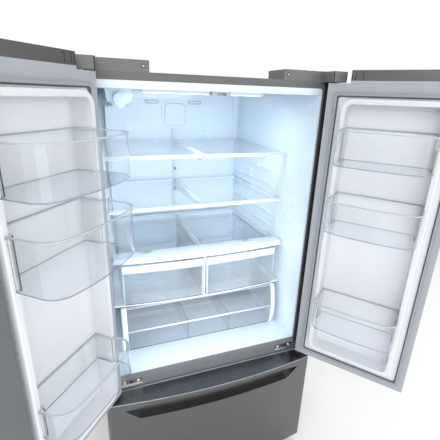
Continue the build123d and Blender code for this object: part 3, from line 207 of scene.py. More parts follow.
@dataclass
class SharedEffects:
    """The surface effects that several finishes use, each one a node group built once."""

    groups: dict[str, bpy.types.NodeTree] = field(default_factory=dict)
    noise_middle: float = 0.5
    plastic_gloss_swing: float = 0.22
    steel_gloss_swing: float = 0.25
    paint_gloss_swing: float = 0.2
    line_stretch: float = 5.0
    dust_tilt: float = 0.55
    dust_gain: float = 2.2
    edge_gain: float = 6.0
    scuff_level: float = 0.6
    scuff_gain: float = 5.0

    def build(self) -> None:
        """Builds every group."""
        for make in (self.moulded_skin, self.brushed_grain, self.enamel_peel, self.settled_dust,
                     self.worn_highlight_edges, self.fine_scuffs, self.clear_foot_and_rim):
            tree = make()
            self.groups[tree.name] = tree
            LOG.info("effect %s built", tree.name)

    def moulded_skin(self) -> bpy.types.NodeTree:
        """Moulded plastic: a fine cast texture and slow changes of tone.

        Returns:
            The group's tree.
        """
        bench, given = shader_group(
            "moulded_skin",
            [("Vector", VECTOR, None), ("Colour", COLOUR, (0.8, 0.8, 0.8, 1)),
             ("Roughness", FLOAT, 0.4), ("Grain Pitch", FLOAT, 900.0),
             ("Relief", FLOAT, 0.1), ("Tone Change", FLOAT, 0.04)],
            [("Colour", COLOUR), ("Roughness", FLOAT), ("Normal", VECTOR)])
        fine = bench.add("ShaderNodeTexNoise", Vector=given.outputs["Vector"],
                         Scale=given.outputs["Grain Pitch"], Detail=2.0, Roughness=0.55)
        slow = bench.add("ShaderNodeTexNoise", Vector=given.outputs["Vector"], Scale=7.0,
                         Detail=3.0, Roughness=0.6)
        swing = bench.sum("SUBTRACT", slow.outputs["Fac"], self.noise_middle)
        tone = bench.sum("MULTIPLY", swing, given.outputs["Tone Change"])
        bright = bench.sum("ADD", tone, 1.0)
        scale = bench.add("ShaderNodeCombineColor", Red=bright, Green=bright, Blue=bright)
        colour = bench.blend(1.0, given.outputs["Colour"], scale.outputs[0], "MULTIPLY")
        spread = bench.sum("MULTIPLY", swing, self.plastic_gloss_swing)
        rough = bench.sum("ADD", given.outputs["Roughness"], spread, clamp=True)
        bump = bench.add("ShaderNodeBump", Strength=given.outputs["Relief"], Distance=0.0006,
                         Height=fine.outputs["Fac"])
        bench.add("NodeGroupOutput", Colour=colour, Roughness=rough, Normal=bump.outputs[0])
        return bench.tree

    def brushed_grain(self) -> bpy.types.NodeTree:
        """Sheet metal brushed along the level: long fine lines, closely set up the sheet.

        Returns:
            The group's tree.
        """
        bench, given = shader_group(
            "brushed_grain",
            [("Vector", VECTOR, None), ("Colour", COLOUR, (0.2, 0.2, 0.2, 1)),
             ("Roughness", FLOAT, 0.35), ("Line Pitch", FLOAT, 900.0),
             ("Depth", FLOAT, 0.15), ("Contrast", FLOAT, 0.3)],
            [("Colour", COLOUR), ("Roughness", FLOAT), ("Normal", VECTOR)])
        parts = bench.add("ShaderNodeSeparateXYZ", Vector=given.outputs["Vector"])
        along = [bench.sum("MULTIPLY", parts.outputs[k], self.line_stretch) for k in (0, 1)]
        up = bench.sum("MULTIPLY", parts.outputs[2], given.outputs["Line Pitch"])
        drawn = bench.add("ShaderNodeCombineXYZ", X=along[0], Y=along[1], Z=up)
        line = bench.add("ShaderNodeTexNoise", Vector=drawn.outputs[0], Scale=1.0, Detail=3.0,
                         Roughness=0.65)
        swing = bench.sum("SUBTRACT", line.outputs["Fac"], self.noise_middle)
        tone = bench.sum("ADD", bench.sum("MULTIPLY", swing, given.outputs["Contrast"]), 1.0)
        scale = bench.add("ShaderNodeCombineColor", Red=tone, Green=tone, Blue=tone)
        colour = bench.blend(1.0, given.outputs["Colour"], scale.outputs[0], "MULTIPLY")
        spread = bench.sum("MULTIPLY", swing, self.steel_gloss_swing)
        rough = bench.sum("ADD", given.outputs["Roughness"], spread, clamp=True)
        bump = bench.add("ShaderNodeBump", Strength=given.outputs["Depth"], Distance=0.0004,
                         Height=line.outputs["Fac"])
        bench.add("NodeGroupOutput", Colour=colour, Roughness=rough, Normal=bump.outputs[0])
        return bench.tree

    def enamel_peel(self) -> bpy.types.NodeTree:
        """Baked enamel: the soft dimples of sprayed paint with fine dark and light flecks.

        Returns:
            The group's tree.
        """
        bench, given = shader_group(
            "enamel_peel",
            [("Vector", VECTOR, None), ("Colour", COLOUR, (0.1, 0.1, 0.1, 1)),
             ("Roughness", FLOAT, 0.4), ("Dimple Pitch", FLOAT, 420.0),
             ("Relief", FLOAT, 0.2), ("Fleck", FLOAT, 0.25)],
            [("Colour", COLOUR), ("Roughness", FLOAT), ("Normal", VECTOR)])
        dimple = bench.add("ShaderNodeTexVoronoi", {"feature": "SMOOTH_F1"},
                           Vector=given.outputs["Vector"], Scale=given.outputs["Dimple Pitch"])
        fleck = bench.add("ShaderNodeTexNoise", Vector=given.outputs["Vector"], Scale=1500.0,
                          Detail=1.0)
        swing = bench.sum("SUBTRACT", fleck.outputs["Fac"], self.noise_middle)
        tone = bench.sum("ADD", bench.sum("MULTIPLY", swing, given.outputs["Fleck"]), 1.0)
        scale = bench.add("ShaderNodeCombineColor", Red=tone, Green=tone, Blue=tone)
        colour = bench.blend(1.0, given.outputs["Colour"], scale.outputs[0], "MULTIPLY")
        spread = bench.sum("MULTIPLY", swing, self.paint_gloss_swing)
        rough = bench.sum("ADD", given.outputs["Roughness"], spread, clamp=True)
        bump = bench.add("ShaderNodeBump", Strength=given.outputs["Relief"], Distance=0.0008,
                         Height=dimple.outputs["Distance"])
        bench.add("NodeGroupOutput", Colour=colour, Roughness=rough, Normal=bump.outputs[0])
        return bench.tree

    def settled_dust(self) -> bpy.types.NodeTree:
        """Where dust lies: on what faces up, in uneven patches.

        Returns:
            The group's tree.
        """
        bench, given = shader_group(
            "settled_dust", [("Vector", VECTOR, None), ("Amount", FLOAT, 0.3)],
            [("Mask", FLOAT)])
        facing = bench.add("ShaderNodeNewGeometry")
        parts = bench.add("ShaderNodeSeparateXYZ", Vector=facing.outputs["Normal"])
        tilt = bench.sum("SUBTRACT", parts.outputs[2], self.dust_tilt)
        level = bench.sum("MULTIPLY", tilt, self.dust_gain, True)
        patch = bench.add("ShaderNodeTexNoise", Vector=given.outputs["Vector"], Scale=26.0,
                          Detail=4.0, Roughness=0.7)
        cover = bench.sum("MULTIPLY", level, patch.outputs["Fac"])
        mask = bench.sum("MULTIPLY", cover, given.outputs["Amount"], True)
        bench.add("NodeGroupOutput", Mask=mask)
        return bench.tree

    def worn_highlight_edges(self) -> bpy.types.NodeTree:
        """Where a corner is rubbed, with a painted highlight on the edge: near edges, broken up by a noise.

        Returns:
            The group's tree.
        """
        bench, given = shader_group(
            "worn_highlight_edges", [("Vector", VECTOR, None), ("Width", FLOAT, 0.0015),
                           ("Amount", FLOAT, 0.5)], [("Mask", FLOAT)])
        round_off = bench.add("ShaderNodeBevel", {"samples": 4}, Radius=given.outputs["Width"])
        facing = bench.add("ShaderNodeNewGeometry")
        turn = bench.add("ShaderNodeVectorMath", {"operation": "DOT_PRODUCT"})
        bench.feed(turn.inputs[0], round_off.outputs[0])
        bench.feed(turn.inputs[1], facing.outputs["Normal"])
        bent = bench.sum("SUBTRACT", 1.0, turn.outputs["Value"])
        # Edge mask: rubbed wear and a painted highlight on every edge.
        edge = bench.sum("MULTIPLY", bent, self.edge_gain, True)
        patch = bench.add("ShaderNodeTexNoise", Vector=given.outputs["Vector"], Scale=60.0,
                          Detail=3.0)
        mask = bench.sum("MULTIPLY", bench.sum("MULTIPLY", edge, patch.outputs["Fac"]),
                         given.outputs["Amount"], True)
        bench.add("NodeGroupOutput", Mask=mask)
        return bench.tree

    def fine_scuffs(self) -> bpy.types.NodeTree:
        """Faint wiping marks from cleaning: short stretched lines in two directions.

        Returns:
            The group's tree.
        """
        bench, given = shader_group(
            "fine_scuffs", [("Vector", VECTOR, None), ("Density", FLOAT, 60.0),
                            ("Amount", FLOAT, 0.4)], [("Mask", FLOAT)])
        lines = []
        for stretch, turn in (((1.0, 9.0, 9.0), 0.5), ((9.0, 1.2, 5.0), -0.7)):
            laid = bench.add("ShaderNodeMapping", Vector=given.outputs["Vector"],
                             Rotation=(0.3, turn, turn), Scale=stretch)
            mark = bench.add("ShaderNodeTexNoise", Vector=laid.outputs[0],
                             Scale=given.outputs["Density"], Detail=2.0)
            over = bench.sum("SUBTRACT", mark.outputs["Fac"], self.scuff_level)
            lines.append(bench.sum("MULTIPLY", over, self.scuff_gain, True))
        both = bench.sum("MAXIMUM", *lines)
        mask = bench.sum("MULTIPLY", both, given.outputs["Amount"], True)
        bench.add("NodeGroupOutput", Mask=mask)
        return bench.tree

    def clear_foot_and_rim(self) -> bpy.types.NodeTree:
        """Masks for the foot and for the rim of a bin or drawer, from the bottom and the top of its box.

        Returns:
            The group's tree.
        """
        bench, given = shader_group(
            "clear_foot_and_rim", [("Vector", VECTOR, None), ("Foot Height", FLOAT, 0.06),
                                ("Rim Height", FLOAT, 0.05)],
            [("Foot", FLOAT), ("Rim", FLOAT)])
        parts = bench.add("ShaderNodeSeparateXYZ", Vector=given.outputs["Vector"])
        low = bench.sum("DIVIDE", parts.outputs[2], given.outputs["Foot Height"])
        foot = bench.sum("SUBTRACT", 1.0, low, True)
        high = bench.sum("DIVIDE", bench.sum("SUBTRACT", 1.0, parts.outputs[2]),
                         given.outputs["Rim Height"])
        rim = bench.sum("SUBTRACT", 1.0, high, True)
        bench.add("NodeGroupOutput", Foot=foot, Rim=rim)
        return bench.tree


EFFECTS = SharedEffects()


# ---------------------------------------------------------------- finishes


@dataclass(frozen=True)
class Finish:
    """What every finish has: a name, a colour and a roughness."""

    name: str
    colour: Colour
    roughness: float = 0.4

    def build(self) -> bpy.types.Material:
        """Builds the material the first time, and gives the same one after that.

        Returns:
            The material.
        """
        made = bpy.data.materials.get("finish_" + self.name)
        if made is None:
            made = bpy.data.materials.new("finish_" + self.name)
            made.use_nodes = True
            self.lay(NodeBench(made.node_tree))
        return made

    def lay(self, bench: NodeBench) -> None:
        """Lays the finish's nodes; each kind of finish has its own."""
        raise NotImplementedError

    def place(self, bench: NodeBench, effect: str, **inputs: object) -> bpy.types.Node:
        """Puts a shared effect into this material.

        Args:
            bench: The material's bench.
            effect: The group's name.
            inputs: Values or sockets for its inputs.

        Returns:
            The group node.
        """
        return bench.add("ShaderNodeGroup", {"node_tree": EFFECTS.groups[effect]}, **inputs)

    def coordinates(self, bench: NodeBench,
                    kind: Coordinates = Coordinates.OBJECT) -> bpy.types.NodeSocket:
        """Gives the coordinates that the textures are laid out in."""
        return bench.add("ShaderNodeTexCoord").outputs[kind.value]

    def close(self, bench: NodeBench, shader: bpy.types.Node) -> None:
        """Joins a shader to the material's output."""
        bench.add("ShaderNodeOutputMaterial", Surface=shader.outputs[0])


@dataclass(frozen=True)
class MouldedPlastic(Finish):
    """Injection moulded or vacuum formed plastic."""

    grain_pitch: float = 900.0
    relief: float = 0.1
    tone_change: float = 0.04
    gloss_coat: float = 0.0
    soft_depth: float = 0.0
    scuffs: float = 0.3
    scuff_dulling: float = 0.16
    soft_reach: Colour = (0.004, 0.005, 0.006)

    def lay(self, bench: NodeBench) -> None:
        """Lays the cast texture, the wiping marks and a thin gloss.

        Args:
            bench: The material's bench.
        """
        where = self.coordinates(bench)
        skin = self.place(bench, "moulded_skin", Vector=where, Colour=self.colour,
                          Roughness=self.roughness, Grain_Pitch=self.grain_pitch,
                          Relief=self.relief, Tone_Change=self.tone_change)
        marks = self.place(bench, "fine_scuffs", Vector=where, Amount=self.scuffs)
        rough = bench.sum("ADD", skin.outputs["Roughness"],
                          bench.sum("MULTIPLY", marks.outputs["Mask"], self.scuff_dulling),
                          True)
        body = bench.add("ShaderNodeBsdfPrincipled", Base_Color=skin.outputs["Colour"],
                         Roughness=rough, Normal=skin.outputs["Normal"], IOR=1.49,
                         Coat_Weight=self.gloss_coat, Coat_Roughness=0.08,
                         Subsurface_Weight=self.soft_depth)
        body.inputs["Subsurface Radius"].default_value = self.soft_reach
        self.close(bench, body)


@dataclass(frozen=True)
class BrushedSteel(Finish):
    """Stainless sheet with a level brushed grain under a clear anti-fingerprint coat."""

    line_pitch: float = 900.0
    depth: float = 0.18
    contrast: float = 0.35
    metallic: float = 1.0
    coat: float = 0.25
    rubbed_highlight_gain: float = 2.4
    scuff_dulling: float = 0.12

    def lay(self, bench: NodeBench) -> None:
        """Lays the grain, the rubbed edges with their painted highlight and the faint wiping marks.

        Args:
            bench: The material's bench.
        """
        where = self.coordinates(bench)
        grain = self.place(bench, "brushed_grain", Vector=where, Colour=self.colour,
                           Roughness=self.roughness, Line_Pitch=self.line_pitch,
                           Depth=self.depth, Contrast=self.contrast)
        worn_highlight = self.place(bench, "worn_highlight_edges", Vector=where, Width=0.0016, Amount=0.5)
        marks = self.place(bench, "fine_scuffs", Vector=where, Amount=0.35)
        # Edges painted brighter: rubbed wear and a painted highlight.
        bright = tuple(min(1.0, c * self.rubbed_highlight_gain) for c in self.colour)
        colour = bench.blend(worn_highlight.outputs["Mask"], grain.outputs["Colour"], bright)
        rough = bench.sum("ADD", grain.outputs["Roughness"],
                          bench.sum("MULTIPLY", marks.outputs["Mask"], self.scuff_dulling),
                          True)
        body = bench.add("ShaderNodeBsdfPrincipled", Base_Color=colour, Roughness=rough,
                         Normal=grain.outputs["Normal"], Metallic=self.metallic,
                         Coat_Weight=self.coat, Coat_Roughness=0.2, Anisotropic=0.45)
        self.close(bench, body)


@dataclass(frozen=True)
class EnamelPaint(Finish):
    """Enamel or zinc on sheet steel."""

    dimple_pitch: float = 420.0
    relief: float = 0.22
    fleck: float = 0.3
    metallic: float = 0.0
    dust: float = 0.25
    # Edge colour, lighter than the paint: rubbed paint and a painted highlight.
    edge: Colour = (0.3, 0.3, 0.31)
    dust_colour: Colour = (0.46, 0.45, 0.43)
    dust_dulling: float = 0.3

    def lay(self, bench: NodeBench) -> None:
        """Lays the paint, its rubbed edges with their painted highlight, and the dust on top.

        Args:
            bench: The material's bench.
        """
        where = self.coordinates(bench)
        paint = self.place(bench, "enamel_peel", Vector=where, Colour=self.colour,
                           Roughness=self.roughness, Dimple_Pitch=self.dimple_pitch,
                           Relief=self.relief, Fleck=self.fleck)
        worn_highlight = self.place(bench, "worn_highlight_edges", Vector=where, Width=0.0014, Amount=0.7)
        dust = self.place(bench, "settled_dust", Vector=where, Amount=self.dust)
        colour = bench.blend(worn_highlight.outputs["Mask"], paint.outputs["Colour"], self.edge)
        colour = bench.blend(dust.outputs["Mask"], colour, self.dust_colour)
        rough = bench.sum("ADD", paint.outputs["Roughness"],
                          bench.sum("MULTIPLY", dust.outputs["Mask"], self.dust_dulling), True)
        body = bench.add("ShaderNodeBsdfPrincipled", Base_Color=colour, Roughness=rough,
                         Normal=paint.outputs["Normal"], Metallic=self.metallic)
        self.close(bench, body)


@dataclass(frozen=True)
class ClearPlastic(Finish):
    """Clear moulded plastic or glass, which lets the lamps through to what it holds."""

    tint: Colour = (0.72, 0.8, 0.86)
    ior: float = 1.46
    relief: float = 0.04
    foot_height: float = 0.05
    rim_height: float = 0.04
    foot_share: float = 0.5
    clearness: float = 0.98
    scuff_dulling: float = 0.08
    rim_dulling: float = 0.12
    shadow_tint: Colour = (0.988, 0.992, 0.996)

    def lay(self, bench: NodeBench) -> None:
        """Lays clear walls tinted darker towards the foot and rougher along the rim.

        Args:
            bench: The material's bench.
        """
        foot_and_rim = self.place(bench, "clear_foot_and_rim",
                           Vector=self.coordinates(bench, Coordinates.GENERATED),
                           Foot_Height=self.foot_height, Rim_Height=self.rim_height)
        where = self.coordinates(bench)
        skin = self.place(bench, "moulded_skin", Vector=where, Colour=self.colour,
                          Roughness=self.roughness, Grain_Pitch=160.0, Relief=self.relief,
                          Tone_Change=0.02)
        marks = self.place(bench, "fine_scuffs", Vector=where, Amount=0.5)
        foot = bench.sum("MULTIPLY", foot_and_rim.outputs["Foot"], self.foot_share)
        # Tinted darker towards the foot.
        colour = bench.blend(foot, skin.outputs["Colour"], self.tint)
        scuffed = bench.sum("MULTIPLY", marks.outputs["Mask"], self.scuff_dulling)
        rough = bench.sum("ADD", self.roughness, scuffed, True)
        rimmed = bench.sum("MULTIPLY", foot_and_rim.outputs["Rim"], self.rim_dulling)
        rough = bench.sum("ADD", rough, rimmed, True)
        body = bench.add("ShaderNodeBsdfPrincipled", Base_Color=colour, Roughness=rough,
                         Normal=skin.outputs["Normal"], IOR=self.ior,
                         Transmission_Weight=self.clearness)
        passing = bench.add("ShaderNodeBsdfTransparent", Color=self.shadow_tint)
        ray = bench.add("ShaderNodeLightPath")
        shown = bench.add("ShaderNodeMixShader")
        bench.feed(shown.inputs[0], ray.outputs["Is Shadow Ray"])
        bench.feed(shown.inputs[1], body.outputs[0])
        bench.feed(shown.inputs[2], passing.outputs[0])
        self.close(bench, shown)


@dataclass(frozen=True)
class LampLens(Finish):
    """A lit diffuser."""

    glow: float = 2.0

    def lay(self, bench: NodeBench) -> None:
        """Lays a frosted lens that glows unevenly.

        Args:
            bench: The material's bench.
        """
        where = self.coordinates(bench)
        skin = self.place(bench, "moulded_skin", Vector=where, Colour=self.colour,
                          Roughness=self.roughness, Grain_Pitch=1400.0, Relief=0.15,
                          Tone_Change=0.1)
        body = bench.add("ShaderNodeBsdfPrincipled", Base_Color=skin.outputs["Colour"],
                         Roughness=skin.outputs["Roughness"], Normal=skin.outputs["Normal"],
                         Emission_Color=skin.outputs["Colour"], Emission_Strength=self.glow)
        self.close(bench, body)


@dataclass(frozen=True)
class SoftRubber(Finish):
    """Extruded rubber or vinyl."""

    sheen: float = 0.25
    dust_colour: Colour = (0.55, 0.55, 0.55)

    def lay(self, bench: NodeBench) -> None:
        """Lays a matt skin with a dusty sheen.

        Args:
            bench: The material's bench.
        """
        where = self.coordinates(bench)
        skin = self.place(bench, "moulded_skin", Vector=where, Colour=self.colour,
                          Roughness=self.roughness, Grain_Pitch=500.0, Relief=0.3,
                          Tone_Change=0.12)
        dust = self.place(bench, "settled_dust", Vector=where, Amount=0.3)
        colour = bench.blend(dust.outputs["Mask"], skin.outputs["Colour"], self.dust_colour)
        body = bench.add("ShaderNodeBsdfPrincipled", Base_Color=colour,
                         Roughness=skin.outputs["Roughness"], Normal=skin.outputs["Normal"],
                         Sheen_Weight=self.sheen, Sheen_Roughness=0.5)
        self.close(bench, body)


@dataclass(frozen=True)
class CellFoam(Finish):
    """Rigid foam with open cells on its cut faces."""

    def lay(self, bench: NodeBench) -> None:
        """Lays pitted cells.

        Args:
            bench: The material's bench.
        """
        where = self.coordinates(bench)
        cells = bench.add("ShaderNodeTexVoronoi", Vector=where, Scale=260.0)
        skin = self.place(bench, "moulded_skin", Vector=where, Colour=self.colour,
                          Roughness=self.roughness, Grain_Pitch=300.0, Relief=0.4,
                          Tone_Change=0.25)
        bump = bench.add("ShaderNodeBump", Strength=0.5, Distance=0.001,
                         Height=cells.outputs["Distance"], Normal=skin.outputs["Normal"])
        body = bench.add("ShaderNodeBsdfPrincipled", Base_Color=skin.outputs["Colour"],
                         Roughness=skin.outputs["Roughness"], Normal=bump.outputs[0])
        self.close(bench, body)


CASE_PAINT = EnamelPaint("case_paint", (0.125, 0.127, 0.127), 0.4, fleck=0.8)
DOOR_STEEL = BrushedSteel("door_steel", (0.15, 0.15, 0.152), 0.34)
GALVANISED = EnamelPaint("galvanised", (0.45, 0.46, 0.47), 0.45, 60.0, 0.12, 0.5, 0.7, 0.2,
                         (0.7, 0.7, 0.7))
LINER_WHITE = MouldedPlastic("liner_white", (0.745, 0.83, 0.9), 0.24, 700.0, 0.05, 0.03, 0.3,
                             0.05)
DOOR_LINER = MouldedPlastic("door_liner", (0.765, 0.78, 0.81), 0.34, 800.0, 0.07, 0.03, 0.15,
                            0.05)
FRAME_GREY = MouldedPlastic("frame_grey", (0.40, 0.42, 0.455), 0.42, 800.0, 0.12, 0.06)
RAIL_GREY = MouldedPlastic("rail_grey", (0.22, 0.225, 0.24), 0.4, 900.0, 0.12, 0.08)
DARK_PLASTIC = MouldedPlastic("dark_plastic", (0.028, 0.028, 0.031), 0.48, 700.0, 0.25, 0.12)
BLACK_PAINT = EnamelPaint("black_paint", (0.018, 0.018, 0.019), 0.5, 300.0, 0.25, 0.2, 0.0,
                          0.5, (0.12, 0.12, 0.12))
FIN_METAL = BrushedSteel("fin_metal", (0.66, 0.67, 0.68), 0.4, 1300.0, 0.3, 0.4, 0.9, 0.0)
ZINC_STEEL = BrushedSteel("zinc_steel", (0.5, 0.5, 0.51), 0.36, 500.0, 0.2, 0.35, 1.0, 0.0)
GREY_PLASTIC = MouldedPlastic("grey_plastic", (0.42, 0.46, 0.51), 0.42, 900.0, 0.12, 0.06)
FLAP_GREY = MouldedPlastic("flap_grey", (0.13, 0.14, 0.15), 0.4, 900.0, 0.12, 0.08)
PEARL_PLASTIC = MouldedPlastic("pearl_plastic", (0.66, 0.72, 0.77), 0.28, 1000.0, 0.05, 0.05,
                               0.3, 0.04)
LENS = LampLens("lamp_lens", (0.74, 0.82, 0.9), 0.35, 0.12)
LED_STRIP = LampLens("led_strip", (0.88, 0.95, 1.0), 0.3, 3.0)
SHELF_PLASTIC = MouldedPlastic("shelf_plastic", (0.83, 0.88, 0.92), 0.26, 900.0, 0.05, 0.03,
                               0.3, 0.06)
SHELF_GLASS = ClearPlastic("shelf_glass", (0.975, 0.99, 0.995), 0.02, (0.8, 0.92, 0.95), 1.33,
                           0.0, 0.05, 0.05, 0.2, 0.98)
CLEAR_DRAWER = ClearPlastic("clear_drawer", (0.98, 0.988, 0.995), 0.04, (0.86, 0.92, 0.96),
                            1.38)
CLEAR_BIN = ClearPlastic("clear_bin", (0.978, 0.984, 0.99), 0.03, (0.72, 0.78, 0.84), 1.38,
                         0.03, 0.06, 0.05, 0.6)
# Pale opaque skin, painted as the highlights on clear rims and ribs.
RIM_HIGHLIGHT_FINISH = MouldedPlastic("rim_highlight", (0.52, 0.58, 0.64), 0.2, 600.0, 0.04, 0.1, 0.5, 0.0)
# Dark skin, painted as the shade along a clear bin's foot.
FOOT_SHADE_FINISH = MouldedPlastic("foot_shade", (0.34, 0.39, 0.46), 0.22, 600.0, 0.04, 0.12, 0.5, 0.0)
# Near-black lip, painted as the shade along the gasket's inner fold.
GASKET_SHADE_LIP = SoftRubber("gasket_shade_lip", (0.045, 0.047, 0.052), 0.5)
BRIGHT_ZINC = BrushedSteel("bright_zinc", (0.78, 0.78, 0.8), 0.2, 300.0, 0.1, 0.2, 1.0, 0.0)
# Near-black rubber, painted as the shade on the hinge-side stiles.
PAINTED_STILE_SHADE = SoftRubber("painted_stile_shade", (0.02, 0.02, 0.022), 0.45)
HINGE_COVER = MouldedPlastic("hinge_cover", (0.15, 0.15, 0.153), 0.36, 800.0, 0.22, 0.1)
LADDER_WHITE = EnamelPaint("ladder_white", (0.72, 0.79, 0.85), 0.35, 500.0, 0.1, 0.08, 0.0, 0.0,
                           (0.75, 0.78, 0.8))
GASKET_RUBBER = SoftRubber("gasket_rubber", (0.33, 0.35, 0.38), 0.5)
FOAM = CellFoam("foam", (0.72, 0.62, 0.4), 0.8)
COPPER = BrushedSteel("copper", (0.72, 0.36, 0.2), 0.32, 400.0, 0.15, 0.4, 1.0, 0.0)

NODE_FINISHES: dict[str, Finish] = {
    "vent_cover": LINER_WHITE,
    "hinge_covers": HINGE_COVER, "shelf_ladder": LADDER_WHITE, "centre_hinges": BRIGHT_ZINC,
}

SLOT_FINISHES: dict[str, Finish] = {
    "case_paint": CASE_PAINT, "door_steel": DOOR_STEEL, "galvanised": GALVANISED, "foam": FOAM,
    "liner_white": LINER_WHITE, "door_liner_white": DOOR_LINER, "door_frame_grey": FRAME_GREY,
    "rail_grey": RAIL_GREY, "dark_plastic": DARK_PLASTIC, "black_paint": BLACK_PAINT,
    "aluminium_fins": FIN_METAL, "zinc_steel": ZINC_STEEL, "grey_plastic": GREY_PLASTIC,
    "flap_grey": FLAP_GREY, "pearl_plastic": PEARL_PLASTIC, "lamp_lens": LENS,
    "shelf_plastic": SHELF_PLASTIC, "shelf_glass": SHELF_GLASS, "clear_drawer": CLEAR_DRAWER,
    "clear_bin": CLEAR_BIN, "gasket_rubber": GASKET_RUBBER,
}


# ---------------------------------------------------------------- mesh work


class Workshop:
    """Builds meshes from sizes in millimetres and fits them to the frame."""

    @staticmethod
    def piece(name: str, mesh: bmesh.types.BMesh, smooth: bool = True,
              turn_out: bool = True) -> bpy.types.Object:
        """Turns a working mesh into an object.

        Args:
            name: The piece's name.
            mesh: The working mesh, in millimetres; it is freed.
            smooth: Whether the faces are shaded smooth.
            turn_out: Whether the faces are turned to face out, as a closed mesh needs.

        Returns:
            The object, in metres.
        """
        if turn_out:
            bmesh.ops.recalc_face_normals(mesh, faces=mesh.faces)
        for face in mesh.faces:
            face.smooth = smooth
        data = bpy.data.meshes.new(name)
        bmesh.ops.transform(mesh, matrix=Matrix.Scale(MM, 4), verts=mesh.verts)
        mesh.to_mesh(data)
        mesh.free()
        made = bpy.data.objects.new(name, data)
        bpy.context.scene.collection.objects.link(made)
        return made

    @staticmethod
    def moulded_bar(name: str, low: Point, high: Point, radius: float = 1.0) -> bpy.types.Object:
        """A bar with rounded edges and corners.

        Args:
            name: The piece's name.
            low: Its lowest corner.
            high: Its highest corner.
            radius: The edge radius.

        Returns:
            The piece.
        """
        mesh = bmesh.new()
        bmesh.ops.create_cube(mesh, size=1.0)
        for vert in mesh.verts:
            vert.co = Vector([(a + b) / 2 + c * (b - a) for a, b, c in zip(low, high, vert.co)])
        reach = min(b - a for a, b in zip(low, high)) * 0.45
        bmesh.ops.bevel(mesh, geom=mesh.edges[:], offset=min(radius, reach), segments=3,
                        profile=0.5, affect="EDGES")
        return Workshop.piece(name, mesh)

    @staticmethod
    def sweep(name: str, path: Sequence[Point], section: Sequence[tuple[float, float]],
              up: Point = (0.0, 0.0, 1.0), closed: bool = False) -> bpy.types.Object:
        """A section carried along a path, mitred at its corners.

        Args:
            name: The piece's name.
            path: The points that it follows.
            section: The section's outline as (sideways, upwards).
            up: The direction in which the section stands.
            closed: Whether the path is a ring.

        Returns:
            The piece.
        """
        mesh = bmesh.new()
        spots = [Vector(p) for p in path]
        stand = Vector(up).normalized()
        rings = []
        for k, spot in enumerate(spots):
            before = spots[k - 1] if closed or k else spot
            after = spots[(k + 1) % len(spots)] if closed or k < len(spots) - 1 else spot
            ways = [w.normalized() for w in (spot - before, after - spot) if w.length > 1e-6]
            run = sum(ways, Vector()).normalized()
            spread = 1.0 / max(0.35, run.dot(ways[0]))
            side = run.cross(stand).normalized()
            rise = side.cross(run).normalized()
            rings.append([mesh.verts.new(spot + side * (a * spread) + rise * b)
                          for a, b in section])
        count = len(section)
        for k in range(len(rings) if closed else len(rings) - 1):
            near, far = rings[k], rings[(k + 1) % len(rings)]
            for j in range(count):
                mesh.faces.new((near[j], near[(j + 1) % count], far[(j + 1) % count], far[j]))
        if not closed:
            mesh.faces.new(rings[0][::-1])
            mesh.faces.new(rings[-1])
        return Workshop.piece(name, mesh)

    @staticmethod
    def round_section(radius: float, count: int = 10,
                      squeeze: float = 1.0) -> list[tuple[float, float]]:
        """A round or flattened section.

        Args:
            radius: Its half width.
            count: How many corners it has.
            squeeze: Its height as a share of its width.

        Returns:
            Its outline.
        """
        turns = [2 * math.pi * k / count for k in range(count)]
        return [(radius * math.cos(t), radius * squeeze * math.sin(t)) for t in turns]

    @staticmethod
    def rounded_path(corners: Sequence[tuple[float, float]], radius: float,
                     place: Callable[[float, float], Point], steps: int = 6) -> list[Point]:
        """A ring of points round a polygon, with its corners rounded.

        Args:
            corners: The polygon.
            radius: The corner radius.
            place: Turns the polygon's two numbers into a point.
            steps: Points on each corner.

        Returns:
            The ring of points.
        """
        ring = []
        for k, corner in enumerate(corners):
            here = Vector(corner)
            before = (Vector(corners[k - 1]) - here).normalized()
            after = (Vector(corners[(k + 1) % len(corners)]) - here).normalized()
            half = before.angle(after) / 2
            run = radius / math.tan(half)
            start, end = here + before * run, here + after * run
            centre = here + (before + after).normalized() * (radius / math.sin(half))
            first, last = start - centre, end - centre
            for j in range(steps + 1):
                arm = first.lerp(last, j / steps).normalized() * radius
                ring.append(place(*(centre + arm)))
        return ring

    @staticmethod
    def frame_ring(name: str, low: tuple[float, float], high: tuple[float, float],
                   place: Callable[[float, float], Point], up: Point, radius: float,
                   section: Sequence[tuple[float, float]]) -> bpy.types.Object:
        """A raised ring round a rectangle with rounded corners.

        Args:
            name: The piece's name.
            low: The rectangle's lowest corner.
            high: Its highest corner.
            place: Turns the rectangle's two numbers into a point.
            up: The direction in which the ring stands proud.
            radius: The corner radius.
            section: The ring's section.

        Returns:
            The piece.
        """
        corners = [low, (high[0], low[1]), high, (low[0], high[1])]
        path = Workshop.rounded_path(corners, radius, place)
        return Workshop.sweep(name, path, section, up, closed=True)

